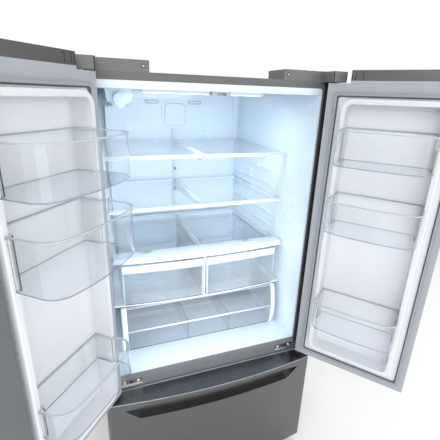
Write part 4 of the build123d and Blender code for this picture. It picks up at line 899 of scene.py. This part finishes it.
    @staticmethod
    def screw(name: str, centre: Point, facing: Point, radius: float = 4.0,
              height: float = 1.6) -> bpy.types.Object:
        """A domed screw head with a cross recess and a thin washer skirt.

        Args:
            name: The piece's name.
            centre: The middle of its seat.
            facing: The direction in which it faces.
            radius: The head's radius.
            height: The dome's height.

        Returns:
            The piece.
        """
        mesh = bmesh.new()
        segments, rings = 32, 9
        slot_half, slot_reach, slot_floor = radius * 0.13, 0.62, 0.35
        skirt_radius, skirt_height = radius * 1.06, 0.1
        grid = []
        for r in range(1, rings + 1):
            share = r / rings
            row = []
            for s in range(segments):
                turn = 2 * math.pi * s / segments
                x, y = radius * share * math.cos(turn), radius * share * math.sin(turn)
                z = height * math.sqrt(max(0.0, 1.0 - share ** 3))
                slot = min(abs(x), abs(y)) < slot_half and share < slot_reach
                row.append(mesh.verts.new((x, y, z * (slot_floor if slot else 1.0)
                                           + skirt_height)))
            grid.append(row)
        middle = mesh.verts.new((0, 0, height * slot_floor))
        skirt = [mesh.verts.new((skirt_radius * math.cos(2 * math.pi * s / segments),
                                 skirt_radius * math.sin(2 * math.pi * s / segments), 0.0))
                 for s in range(segments)]
        grid.append(skirt)
        for s in range(segments):
            step = (s + 1) % segments
            mesh.faces.new((middle, grid[0][s], grid[0][step]))
            for r in range(len(grid) - 1):
                mesh.faces.new((grid[r][s], grid[r + 1][s], grid[r + 1][step], grid[r][step]))
        mesh.faces.new(skirt[::-1])
        turn = Vector((0, 0, 1)).rotation_difference(Vector(facing)).to_matrix().to_4x4()
        bmesh.ops.transform(mesh, matrix=Matrix.Translation(Vector(centre)) @ turn,
                            verts=mesh.verts)
        return Workshop.piece(name, mesh)

    @staticmethod
    def shell_of(name: str, node: str, keep: Callable[[Vector, Vector], bool],
                 lift: float = 0.35, cuts: Sequence[tuple[Point, Point]] = ()
                 ) -> bpy.types.Object:
        """A thin skin over part of a CAD node, for a trim that follows it exactly.

        Args:
            name: The piece's name.
            node: The CAD node.
            keep: Takes a face's centre in millimetres and its normal, and says if it is kept.
            lift: How far the skin stands off the node.
            cuts: Planes, each a point and a normal, along which the faces are split first.

        Returns:
            The piece.
        """
        mesh = bmesh.new()
        mesh.from_mesh(frame["nodes"][node].data)
        bmesh.ops.transform(mesh, matrix=Matrix.Scale(1 / MM, 4), verts=mesh.verts)
        bmesh.ops.remove_doubles(mesh, verts=mesh.verts, dist=0.01)
        for spot, across in cuts:
            bmesh.ops.bisect_plane(mesh, geom=mesh.verts[:] + mesh.edges[:] + mesh.faces[:],
                                   plane_co=spot, plane_no=across)
        bmesh.ops.recalc_face_normals(mesh, faces=mesh.faces)
        drop = [f for f in mesh.faces if not keep(f.calc_center_median(), f.normal)]
        bmesh.ops.delete(mesh, geom=drop, context="FACES")
        made = Workshop.piece(name, mesh, turn_out=False)
        skin = made.modifiers.new("skin", "SOLIDIFY")
        skin.thickness, skin.offset = lift * MM, 1.0
        return made

    @staticmethod
    def mirror(piece: bpy.types.Object) -> None:
        """Turns a piece drawn for the right door into its twin for the left one."""
        piece.data.transform(Matrix.Scale(-1, 4, Vector((1, 0, 0))))
        piece.data.flip_normals()

    @staticmethod
    def swing(piece: bpy.types.Object, hand: Hand) -> None:
        """Turns a piece drawn with the door shut to where the door stands at rest."""
        piece.data.transform(DOOR_SWING[hand])

    @staticmethod
    def unswing(node: bpy.types.Object, hand: Hand) -> list[Vector]:
        """Gives a door node's corners, in millimetres, as they are with the door shut.

        Args:
            node: The CAD node.
            hand: Which door it is on.

        Returns:
            The places of its vertices.
        """
        back = DOOR_SWING[hand].inverted()
        return [(back @ v.co) / MM for v in node.data.vertices]

    @staticmethod
    def fit(piece: bpy.types.Object, finish: Finish, body: str, slot: str) -> None:
        """Gives a piece its finish and its body, and reports it.

        Args:
            piece: The piece.
            finish: Its finish.
            body: The CAD body that it rides on.
            slot: The record's material slot; not used.
        """
        piece.data.materials.clear()
        piece.data.materials.append(finish.build())
        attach(piece, body)
        LOG.info("%s rides on %s in %s", piece.name, body, finish.name)


def door_swing(hand: Hand) -> Matrix:
    """Works out the move from a shut door to the door at rest.

    Args:
        hand: Which door.

    Returns:
        The move, in metres.
    """
    joint = next(j for j in frame["joints"] if j["name"] == f"{hand.value}_door_hinge")
    pin = Vector(joint["pos_m"])
    turn = Matrix.Rotation(-math.radians(joint["range_deg"][0]), 4, Vector(joint["axis"]))
    return Matrix.Translation(pin) @ turn @ Matrix.Translation(-pin)


DOOR_SWING = {hand: door_swing(hand) for hand in Hand}


def corners_of(node: str) -> tuple[Vector, Vector]:
    """A node's lowest and highest corners at rest, in millimetres."""
    low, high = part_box(node)
    return low / MM, high / MM


# ---------------------------------------------------------------- sub-assemblies


@dataclass
class Frame:
    """The CAD nodes, which keep their meshes and take their finishes from their slots."""

    def build(self) -> None:
        """Dresses every CAD node."""
        for row in frame["record"]["subparts"]:
            node = frame["nodes"][row["node"]]
            finish = NODE_FINISHES.get(row["node"], SLOT_FINISHES[row["material_slot"]])
            node.data.materials.clear()
            node.data.materials.append(finish.build())
            LOG.info("CAD node %s in %s", node.name, finish.name)


@dataclass
class CabinetFittings:
    """Screws, trims and seams on the outside of the cabinet, and a painted shade strip on each stile."""

    screw_radius: float = 4.4
    cover_screw: tuple[float, float] = (252.0, 1757.0)
    hole_shade_half: float = 5.0
    # Where the painted shade strip lies on each stile.
    shade_across: tuple[float, float] = (408.0, 451.0)
    shade_deep: tuple[float, float] = (-0.4, 0.6)
    shade_up: tuple[float, float] = (592.0, 1736.0)
    hinge_screws: tuple[float, ...] = (322.0, 350.0, 378.0)
    hinge_screw_seat: tuple[float, float] = (-3.0, 577.0)
    hinge_screw_radius: float = 7.0
    hinge_screw_height: float = 2.6
    seat_inset: float = 20.0
    seat_rises: tuple[float, ...] = (500.0, 1000.0)
    seat_end: float = 22.0
    seat_across: tuple[float, ...] = (-150.0, 150.0)
    seat_radius: float = 11.0
    seat_slope: float = 3.0
    seat_depth: float = 1.4
    sheet: float = 0.7
    bead_half: float = 9.0
    bead_depth: float = 1.3
    beads: tuple[Point, ...] = ((390.0, 300.0, 1680.0), (250.0, 420.0, 1560.0))
    columns: int = 226
    rows: int = 376
    pipe_across: float = 70.0
    pipe_rise: float = 227.5
    pipe_foot: float = 219.0
    pipe_bend: float = 8.0
    pipe_radius: float = 3.0

    def build(self) -> None:
        """Builds the screws, the painted shade strips on the stiles, the back panel and the pipe behind."""
        self.top_screws()
        self.stile_shade_strips()
        self.centre_screws()
        self.back_panel()
        self.discharge_pipe()

    def top_screws(self) -> None:
        """A sunk screw on the front of each top hinge cover, in a dark ring painted as the shade of its hole."""
        for side in Hand:
            across, up = side.sign * self.cover_screw[0], self.cover_screw[1]
            # Dark ring: painted shade inside the screw hole.
            hole_shade = Workshop.frame_ring(
                f"{side.value}_cover_hole_shade",
                (across - self.hole_shade_half, up - self.hole_shade_half),
                (across + self.hole_shade_half, up + self.hole_shade_half),
                lambda a, b: (a, -0.2, b), (0, -1, 0), 4.8, Workshop.round_section(1.3, 8, 0.6))
            Workshop.fit(hole_shade, DARK_PLASTIC, "cabinet", "dark_plastic")
            screw = Workshop.screw(f"{side.value}_cover_screw", (across, 0.0, up), (0, -1, 0),
                                   self.screw_radius, 1.4)
            Workshop.fit(screw, ZINC_STEEL, "cabinet", "zinc_steel")

    def stile_shade_strips(self) -> None:
        """A painted shade strip down each hinge-side stile: a dark strip for the shade of the shut door's edge."""
        for side in Hand:
            ends = sorted((side.sign * self.shade_across[0], side.sign * self.shade_across[1]))
            strip = Workshop.moulded_bar(
                f"{side.value}_stile_shade_strip", (ends[0], self.shade_deep[0], self.shade_up[0]),
                (ends[1], self.shade_deep[1], self.shade_up[1]), 0.3)
            Workshop.fit(strip, PAINTED_STILE_SHADE, "cabinet", "gasket_rubber")

    def centre_screws(self) -> None:
        """Three screws on each centre hinge plate, the middle one dark, painted as the shade of a hole in the
        plate.
        """
        for side in Hand:
            for k, across in enumerate(self.hinge_screws):
                spot = (side.sign * across, *self.hinge_screw_seat)
                screw = Workshop.screw(f"{side.value}_centre_screw_{k + 1}", spot, (0, -1, 0),
                                       self.hinge_screw_radius, self.hinge_screw_height)
                # The middle head in dark plastic: painted shade of the plate's hole.
                Workshop.fit(screw, DARK_PLASTIC if k == 1 else BRIGHT_ZINC, "cabinet",
                             "zinc_steel")

    def back_panel(self) -> None:
        """The pressed back panel, with sunk beads and a dished seat under each screw."""
        low, high = corners_of("back_panel")
        seats = [(side.sign * (high.x - self.seat_inset), z) for side in Hand
                 for z in (low.z + self.seat_end, *(low.z + rise for rise in self.seat_rises),
                           high.z - self.seat_end)]
        seats += [(x, z) for x in self.seat_across
                  for z in (low.z + self.seat_end, high.z - self.seat_end)]
        mesh = bmesh.new()
        across = [low.x + (high.x - low.x) * k / self.columns for k in range(self.columns + 1)]
        upward = [low.z + (high.z - low.z) * k / self.rows for k in range(self.rows + 1)]
        grid = [[mesh.verts.new((x, high.y - self.pressed(x, z, seats), z)) for x in across]
                for z in upward]
        for lower, upper in zip(grid, grid[1:]):
            for k in range(self.columns):
                mesh.faces.new((lower[k], lower[k + 1], upper[k + 1], upper[k]))
        for face in mesh.faces:
            face.normal_update()
        if mesh.faces[:][0].normal.y < 0:
            bmesh.ops.reverse_faces(mesh, faces=mesh.faces)
        panel = Workshop.piece("pressed_back_panel", mesh, turn_out=False)
        wall = panel.modifiers.new("sheet", "SOLIDIFY")
        wall.thickness, wall.offset = self.sheet * MM, -1.0
        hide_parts("back_panel")
        Workshop.fit(panel, GALVANISED, "cabinet", "galvanised")
        for k, (x, z) in enumerate(seats):
            screw = Workshop.screw(f"back_screw_{k + 1}", (x, high.y - self.seat_depth, z),
                                   (0, 1, 0), 4.6, 1.2)
            Workshop.fit(screw, ZINC_STEEL, "cabinet", "zinc_steel")

    def pressed(self, x: float, z: float, seats: Sequence[tuple[float, float]]) -> float:
        """Says how deep the back panel is pressed in at a point.

        Args:
            x: The point's place across.
            z: Its height.
            seats: The screws' places, as (across, height).

        Returns:
            The depth, in millimetres.
        """
        depth = 0.0
        for half, foot, top in self.beads:
            gap = self.ring_distance(x, z - (foot + top) / 2, half, (top - foot) / 2)
            if gap < self.bead_half:
                wave = math.cos(gap / self.bead_half * math.pi / 2)
                depth = max(depth, self.bead_depth * wave ** 2)
        for seat_x, seat_z in seats:
            gap = math.hypot(x - seat_x, z - seat_z)
            share = min(1.0, max(0.0, (self.seat_radius - gap) / self.seat_slope))
            depth = max(depth, self.seat_depth * share)
        return depth

    @staticmethod
    def ring_distance(x: float, z: float, half_x: float, half_z: float,
                      corner: float = 40.0) -> float:
        """How far a point is from the outline of a rectangle with rounded corners.

        Args:
            x: The point's place across, from the middle.
            z: Its height, from the middle.
            half_x: Half the rectangle's width.
            half_z: Half its height.
            corner: Its corner radius.

        Returns:
            The distance, in millimetres.
        """
        over_x, over_z = abs(x) - half_x + corner, abs(z) - half_z + corner
        outside = math.hypot(max(over_x, 0.0), max(over_z, 0.0))
        return abs(outside + min(max(over_x, over_z), 0.0) - corner)

    def discharge_pipe(self) -> None:
        """The copper pipe from the compressor across to the condenser."""
        low, high = corners_of("compressor")
        middle = (low + high) / 2
        far, rise, steps = self.pipe_across, self.pipe_rise, 6
        corners = [(middle.x, high.z - self.pipe_radius), (middle.x, rise), (far, rise),
                   (far, self.pipe_foot)]
        path = [(middle.x, middle.y, corners[0][1])]
        for k, (here_x, here_z) in enumerate(corners[1:-1]):
            before = Vector(corners[k]) - Vector((here_x, here_z))
            after = Vector(corners[k + 2]) - Vector((here_x, here_z))
            bend = min(self.pipe_bend, before.length * 0.9, after.length * 0.9)
            start, end = before.normalized() * bend, after.normalized() * bend
            for j in range(steps + 1):
                share = j / steps
                spot = start * (1 - share) ** 2 + end * share ** 2
                path.append((here_x + spot.x, middle.y, here_z + spot.y))
        path.append((far, middle.y, corners[-1][1]))
        pipe = Workshop.sweep("discharge_pipe", path, Workshop.round_section(self.pipe_radius, 12),
                              up=(0, 1, 0))
        Workshop.fit(pipe, COPPER, "cabinet", "zinc_steel")


@dataclass
class FreshCompartment:
    """The small fittings inside the fresh food compartment."""

    strip_inset: float = 7.0
    strip_end: float = 14.0
    strip_half: float = 1.6
    duct_face: float = 690.0
    slot_spots: tuple[tuple[float, float], ...] = ((-110.5, 1640.0), (112.0, 1640.0))
    slot_width: float = 66.0
    slot_height: float = 14.0
    vent_margin: float = 13.0
    vent_corner: float = 22.0
    hook_tops: tuple[float, ...] = (1432.0, 1308.0, 1226.0, 1190.0)
    hook_half: float = 7.0
    hook_height: float = 14.0
    hook_deep: tuple[float, float] = (676.5, 680.4)
    lip_end: float = 2.0
    lip_stand: float = 0.6
    lip_drop: float = 5.0

    def build(self) -> None:
        """Builds the lamp strips, slot rims, vent outline, hooks and shelf lips."""
        self.lamp_strips()
        self.slot_frames()
        self.vent_outline()
        self.ladder_hooks()
        self.shelf_trims()

    def lamp_strips(self) -> None:
        """Two lit strips along the ceiling light."""
        low, high = corners_of("ceiling_light")
        for k, y in enumerate((low.y + self.strip_inset, high.y - self.strip_inset)):
            strip = Workshop.moulded_bar(
                f"lamp_strip_{k + 1}", (low.x + self.strip_end, y - self.strip_half, low.z - 0.9),
                (high.x - self.strip_end, y + self.strip_half, low.z + 0.6), 0.6)
            Workshop.fit(strip, LED_STRIP, "cabinet", "lamp_lens")

    def slot_frames(self) -> None:
        """A grey rim round each air slot of the rear duct."""
        for k, (x, z) in enumerate(self.slot_spots):
            half_w, half_h = self.slot_width / 2, self.slot_height / 2
            rim = Workshop.frame_ring(
                f"air_slot_rim_{k + 1}", (x - half_w, z - half_h), (x + half_w, z + half_h),
                lambda a, b: (a, self.duct_face, b), (0, -1, 0), 3.0,
                Workshop.round_section(1.6, 8, 0.7))
            Workshop.fit(rim, GREY_PLASTIC, "cabinet", "grey_plastic")

    def vent_outline(self) -> None:
        """The raised inner outline on the round-cornered vent cover."""
        low, high = corners_of("vent_cover")
        ring = Workshop.frame_ring(
            "vent_cover_outline", (low.x + self.vent_margin, low.z + self.vent_margin),
            (high.x - self.vent_margin, high.z - self.vent_margin),
            lambda a, b: (a, low.y, b), (0, -1, 0), self.vent_corner,
            Workshop.round_section(1.0, 8, 0.7))
        Workshop.fit(ring, PEARL_PLASTIC, "cabinet", "pearl_plastic")

    def ladder_hooks(self) -> None:
        """The dark hooks by which the shelves hang on the ladder."""
        near, far = self.hook_deep
        for k, top in enumerate(self.hook_tops):
            hook = Workshop.moulded_bar(
                f"ladder_hook_{k + 1}", (-self.hook_half, near, top - self.hook_height),
                (self.hook_half, far, top), 1.6)
            Workshop.fit(hook, RAIL_GREY, "cabinet", "rail_grey")

    def shelf_trims(self) -> None:
        """A rounded front lip on each shelf."""
        for row in ("upper", "lower"):
            for side in Hand:
                node = f"{row}_{side.value}_shelf"
                low, high = corners_of(node)
                deep, up = low.y + self.lip_stand, high.z - self.lip_drop
                lip = Workshop.sweep(
                    f"{node}_front_lip",
                    [(low.x + self.lip_end, deep, up), (high.x - self.lip_end, deep, up)],
                    Workshop.round_section(1.4, 10, 2.6))
                Workshop.fit(lip, SHELF_PLASTIC, "cabinet", "shelf_plastic")


@dataclass
class DoorFittings:
    """Gasket lips, cap fins, bin clips and bin trims of one door."""

    hand: Hand
    rim_height: float = 3.0
    shade_height: float = 3.5
    clip_rows: tuple[float, ...] = (-20.0, 4.0)
    clip_half: float = 1.4
    clip_reach: tuple[float, float] = (1.0, 6.0)
    clip_foot: float = 8.0
    clip_drop: float = 30.0
    liner_front: float = 20.0
    fin_rows: tuple[float, ...] = (374.0, 362.0, 338.0)
    fin_half: float = 1.2
    fin_deep: tuple[float, float] = (-12.6, -11.0)
    fin_up: tuple[float, float] = (1745.0, 1773.0)
    gasket_low: tuple[float, float] = (23.5, 601.5)
    gasket_high: tuple[float, float] = (422.5, 1702.5)
    band: float = 14.0
    lip_width: float = 3.0

    def build(self) -> None:
        """Builds the lips of the gasket and the cap's fins, then the bins' trims and clips."""
        self.gasket_lips()
        self.cap_fins()
        for level in Level:
            self.bin_trims(level)
            self.bin_clips(level)

    def gasket_lips(self) -> None:
        """The two raised lips that run round the gasket; the inner one is painted dark as the shade in the
        gasket's fold by the liner.
        """
        for label, inset in (("outer", 0.0), ("inner", self.band - self.lip_width)):
            low = (self.gasket_low[0] + inset, self.gasket_low[1] + inset)
            high = (self.gasket_high[0] - inset, self.gasket_high[1] - inset)
            lip = Workshop.frame_ring(
                f"{self.hand.value}_gasket_{label}_lip", low, high,
                lambda a, b: (self.hand.sign * a, -2.2, b), (0, 1, 0), 6.0,
                Workshop.round_section(2.2 if label == "inner" else 1.5, 8, 0.6))
            Workshop.swing(lip, self.hand)
            # The inner lip in near-black: painted shade beside the liner.
            Workshop.fit(lip, GASKET_SHADE_LIP if label == "inner" else GASKET_RUBBER,
                         f"{self.hand.value}_door", "gasket_rubber")

    def bin_clips(self, level: Level) -> None:
        """The upright clip ribs on the free-side wall of one bin.

        Args:
            level: The bin's height on the door.
        """
        node = f"{self.hand.value}_{level.value}_bin"
        back = Workshop.unswing(frame["nodes"][node], self.hand)
        foot = min(v.z for v in back) + self.clip_foot
        top = max(v.z for v in back) - self.clip_drop
        inner = min(abs(v.x) for v in back if v.y < self.liner_front)
        for k, y in enumerate(self.clip_rows):
            rib = Workshop.moulded_bar(
                f"{node}_clip_{k + 1}",
                (inner + self.clip_reach[0], y - self.clip_half, foot),
                (inner + self.clip_reach[1], y + self.clip_half, top), 0.9)
            if self.hand is Hand.LEFT:
                Workshop.mirror(rib)
            Workshop.swing(rib, self.hand)
            # Ribs in the pale rim finish: a painted highlight down each rib.
            Workshop.fit(rib, RIM_HIGHLIGHT_FINISH, f"{node}_body", "clear_bin")

    def cap_fins(self) -> None:
        """The upright ribs on the inner side of the door's top cap, near its hinge."""
        for k, across in enumerate(self.fin_rows):
            fin = Workshop.moulded_bar(
                f"{self.hand.value}_cap_fin_{k + 1}",
                (across - self.fin_half, self.fin_deep[0], self.fin_up[0]),
                (across + self.fin_half, self.fin_deep[1], self.fin_up[1]), 0.6)
            if self.hand is Hand.LEFT:
                Workshop.mirror(fin)
            Workshop.swing(fin, self.hand)
            Workshop.fit(fin, DARK_PLASTIC, f"{self.hand.value}_door", "dark_plastic")

    def bin_trims(self, level: Level) -> None:
        """The rim bead of one bin, a pale skin painted as the rim's highlight, and its foot edge, a dark skin
        painted as the shade along its foot.

        Args:
            level: The bin's height on the door.
        """
        node = f"{self.hand.value}_{level.value}_bin"
        low, high = corners_of(node)
        highlight_foot, shade_top = high.z - self.rim_height, low.z + self.shade_height
        # Pale skin over the rim: a painted highlight.
        rim = Workshop.shell_of(f"{node}_rim", node, lambda c, n: c.z > highlight_foot, 0.5,
                                [((0, 0, highlight_foot), (0, 0, 1))])
        Workshop.fit(rim, RIM_HIGHLIGHT_FINISH, f"{node}_body", "clear_bin")
        # Dark skin round the foot: painted shade.
        edge = Workshop.shell_of(
            f"{node}_foot_edge", node, lambda c, n: c.z < shade_top and abs(n.z) < 0.8, 0.4,
            [((0, 0, shade_top), (0, 0, 1))])
        Workshop.fit(edge, FOOT_SHADE_FINISH, f"{node}_body", "clear_bin")


@dataclass
class DrawerFittings:
    """Grip strips and trims of the crispers, the pantry drawer and the freezer drawer, with painted highlights on
    some of them.
    """

    grip_height: float = 34.0
    post_width: float = 7.0
    ledge: tuple[float, float] = (716.0, 725.0)
    lip_height: float = 9.0
    highlight_height: float = 3.0
    end_width: float = 22.0
    front_reach: float = 70.0

    def build(self) -> None:
        """Builds the trims of every drawer."""
        for side in Hand:
            self.crisper_grip(side)
            self.pantry_end(side)
        self.pantry_lip()
        self.freezer_highlight_edge()

    def crisper_grip(self, side: Hand) -> None:
        """The white grip strip along the top of a crisper's front.

        Args:
            side: Which crisper.
        """
        node = f"{side.value}_crisper"
        low, high = corners_of(node)
        foot = high.z - self.grip_height
        strip = Workshop.shell_of(
            f"{node}_grip", node,
            lambda c, n: c.z > foot and n.y < -0.4 and c.y < low.y + self.front_reach, 1.2,
            [((0, 0, foot), (0, 0, 1))])
        Workshop.fit(strip, SHELF_PLASTIC, f"{node}_body", "shelf_plastic")
        for label, edge, way in (("near", low.x + self.post_width, -1),
                                 ("far", high.x - self.post_width, 1)):
            post = Workshop.shell_of(
                f"{node}_{label}_post", node,
                lambda c, n: (c.x - edge) * way > 0 and c.z < foot and n.y < -0.4
                and c.y < low.y + self.front_reach, 0.9,
                [((edge, 0, 0), (1, 0, 0)), ((0, 0, foot), (0, 0, 1))])
            Workshop.fit(post, PEARL_PLASTIC, f"{node}_body", "pearl_plastic")

    def pantry_end(self, side: Hand) -> None:
        """The white curved trim at one end of the pantry drawer's front.

        Args:
            side: Which end.
        """
        low, high = corners_of("pantry_drawer")
        inner = side.sign * (high.x - self.end_width)
        trim = Workshop.shell_of(
            f"pantry_{side.value}_end", "pantry_drawer",
            lambda c, n: (c.x - inner) * side.sign > 0 and c.y < low.y + self.front_reach
            and n.y < -0.2, 1.4, [((inner, 0, 0), (1, 0, 0))])
        Workshop.fit(trim, SHELF_PLASTIC, "pantry", "shelf_plastic")

    def pantry_lip(self) -> None:
        """The rounded lip along the top of the pantry drawer's front, painted pale as a highlight, and the ledge
        below it.
        """
        low, high = corners_of("pantry_drawer")
        foot = high.z - self.lip_height
        lip = Workshop.shell_of(
            "pantry_front_lip", "pantry_drawer",
            lambda c, n: c.z > foot and n.y < -0.2 and c.y < low.y + self.front_reach, 1.0,
            [((0, 0, foot), (0, 0, 1))])
        # The lip in the pale rim finish: a painted highlight along it.
        Workshop.fit(lip, RIM_HIGHLIGHT_FINISH, "pantry", "clear_drawer")
        foot, top = self.ledge
        ledge = Workshop.shell_of(
            "pantry_front_ledge", "pantry_drawer",
            lambda c, n: foot < c.z < top and n.y < -0.2 and c.y < low.y + self.front_reach
            and abs(c.x) < high.x - self.end_width, 1.6,
            [((0, 0, foot), (0, 0, 1)), ((0, 0, top), (0, 0, 1)),
             ((low.x + self.end_width, 0, 0), (1, 0, 0)),
             ((high.x - self.end_width, 0, 0), (1, 0, 0))])
        Workshop.fit(ledge, PEARL_PLASTIC, "pantry", "clear_drawer")

    def freezer_highlight_edge(self) -> None:
        """A painted highlight along the top edge of the freezer drawer's front: a thin bright zinc skin."""
        foot = corners_of("drawer_front")[1].z - self.highlight_height
        # Bright skin painted as the highlight on the drawer's rounded top edge.
        edge = Workshop.shell_of(
            "drawer_front_highlight", "drawer_front", lambda c, n: c.z > foot and n.y < -0.3, 0.25,
            [((0, 0, foot), (0, 0, 1))])
        Workshop.fit(edge, ZINC_STEEL, "drawer", "door_steel")


@dataclass
class Studio:
    """The floor, the lights and the camera."""

    floor_half: float = 60.0
    white: Colour = (1.0, 1.0, 1.0)
    camera_spot: Point = (-0.4285, -1.1528, 1.6821)
    yaw: float = 20.9
    pitch: float = 19.6
    roll: float = 1.9
    lens: float = 28.49
    sensor: float = 36.0
    shift: tuple[float, float] = (0.0, -0.0023)
    clip: tuple[float, float] = (0.02, 200.0)
    surround: float = 0.72
    backdrop: float = 1.0
    daylight: Colour = (0.93, 0.96, 1.0)
    cold: Colour = (0.72, 0.86, 1.0)
    cool: Colour = (0.74, 0.87, 1.0)
    ceiling_drop: float = 24.0

    def build(self) -> None:
        """Sets up everything round the refrigerator."""
        self.floor()
        self.sky()
        self.lamps()
        self.camera()

    def floor(self) -> None:
        """A wide round pale floor."""
        mesh = bmesh.new()
        bmesh.ops.create_circle(mesh, cap_ends=True, segments=96, radius=self.floor_half / MM)
        slab = Workshop.piece("studio_floor", mesh, smooth=False)
        paint = MouldedPlastic("studio_floor", (0.95, 0.95, 0.955), 0.7, 200.0, 0.03, 0.02)
        slab.data.materials.append(paint.build())

    def sky(self) -> None:
        """An even white surround."""
        world = bpy.data.worlds.new("studio")
        world.use_nodes = True
        bench = NodeBench(world.node_tree)
        glow = bench.add("ShaderNodeBackground", Color=self.white, Strength=self.surround)
        seen = bench.add("ShaderNodeBackground", Color=self.white, Strength=self.backdrop)
        ray = bench.add("ShaderNodeLightPath")
        both = bench.add("ShaderNodeMixShader")
        bench.feed(both.inputs[0], ray.outputs["Is Camera Ray"])
        bench.feed(both.inputs[1], glow.outputs[0])
        bench.feed(both.inputs[2], seen.outputs[0])
        bench.add("ShaderNodeOutputWorld", Surface=both.outputs[0])
        bpy.context.scene.world = world
        bpy.context.scene.view_settings.view_transform = "Standard"

    def lamp(self, name: str, spot: Point, aim: Point, size: tuple[float, float], power: float,
             colour: Colour) -> None:
        """Hangs a soft rectangular lamp.

        Args:
            name: Its name.
            spot: Where it hangs, in metres.
            aim: What it points at.
            size: Its width and height.
            power: Its power in watts.
            colour: Its colour.
        """
        data = bpy.data.lights.new(name, "AREA")
        data.shape, data.size, data.size_y = "RECTANGLE", *size
        data.energy, data.color = power, colour
        made = bpy.data.objects.new(name, data)
        made.location = spot
        made.rotation_euler = (Vector(aim) - Vector(spot)).to_track_quat("-Z", "Y").to_euler()
        bpy.context.scene.collection.objects.link(made)
        LOG.info("lamp %s at %s", name, spot)

    def lamps(self) -> None:
        """The studio's soft lamps and the refrigerator's own light."""
        low, high = corners_of("ceiling_light")
        ceiling = ((low + high) / 2 - Vector((0, 0, self.ceiling_drop))) * MM
        # Name, where it hangs, what it points at, size, watts and colour.
        rows = (
            ("key_lamp", (-2.6, -3.4, 3.6), (0.0, 0.2, 1.0), (2.4, 2.4), 62.0, self.white),
            ("fill_lamp", (3.2, -2.6, 2.2), (0.0, 0.0, 1.1), (2.2, 2.2), 42.0, self.white),
            ("back_lamp", (0.4, 4.0, 3.2), (0.0, 0.4, 0.9), (3.0, 2.0), 70.0, self.white),
            ("interior_lamp", tuple(ceiling), (0.0, 0.36, 1.0), (0.46, 0.05), 1.5, self.cold),
            ("front_lamp", (-0.2, -3.2, 1.5), (0.0, 0.3, 0.9), (2.6, 2.0), 27.0, self.daylight),
            ("mouth_lamp", (0.0, -0.02, 0.72), (0.0, 0.5, 0.70), (0.66, 0.16), 0.62, self.cool),
            ("bay_lamp", (0.0, -0.02, 1.16), (0.0, 0.5, 1.12), (0.66, 0.12), 0.38, self.cool),
            ("rack_lamp", (0.0, -0.02, 1.0), (0.0, 0.5, 0.98), (0.66, 0.2), 0.5, self.cool),
        )
        for row in rows:
            self.lamp(*row)

    def camera(self) -> None:
        """The camera, in front of the left half at head height, looking down into the cabinet."""
        yaw, pitch, roll = (math.radians(a) for a in (self.yaw, self.pitch, self.roll))
        ahead = Vector((math.sin(yaw) * math.cos(pitch), math.cos(yaw) * math.cos(pitch),
                        -math.sin(pitch)))
        right = Vector((math.cos(yaw), -math.sin(yaw), 0.0))
        over = right.cross(ahead)
        across = right * math.cos(roll) + over * math.sin(roll)
        above = over * math.cos(roll) - right * math.sin(roll)
        data = bpy.data.cameras.new("camera")
        data.lens, data.sensor_width = self.lens, self.sensor
        data.shift_x, data.shift_y = self.shift
        data.clip_start, data.clip_end = self.clip
        made = bpy.data.objects.new("camera", data)
        turn = Matrix((across, above, -ahead)).transposed().to_4x4()
        made.matrix_world = Matrix.Translation(Vector(self.camera_spot)) @ turn
        bpy.context.scene.collection.objects.link(made)
        bpy.context.scene.camera = made


def main() -> None:
    """Builds the effects, the finishes, the pieces and the studio in order."""
    logging.basicConfig(level=logging.INFO, format="%(name)s: %(message)s")
    EFFECTS.build()
    Studio().build()
    Frame().build()
    CabinetFittings().build()
    FreshCompartment().build()
    for hand in Hand:
        DoorFittings(hand).build()
    DrawerFittings().build()


if __name__ == "__main__":
    main()
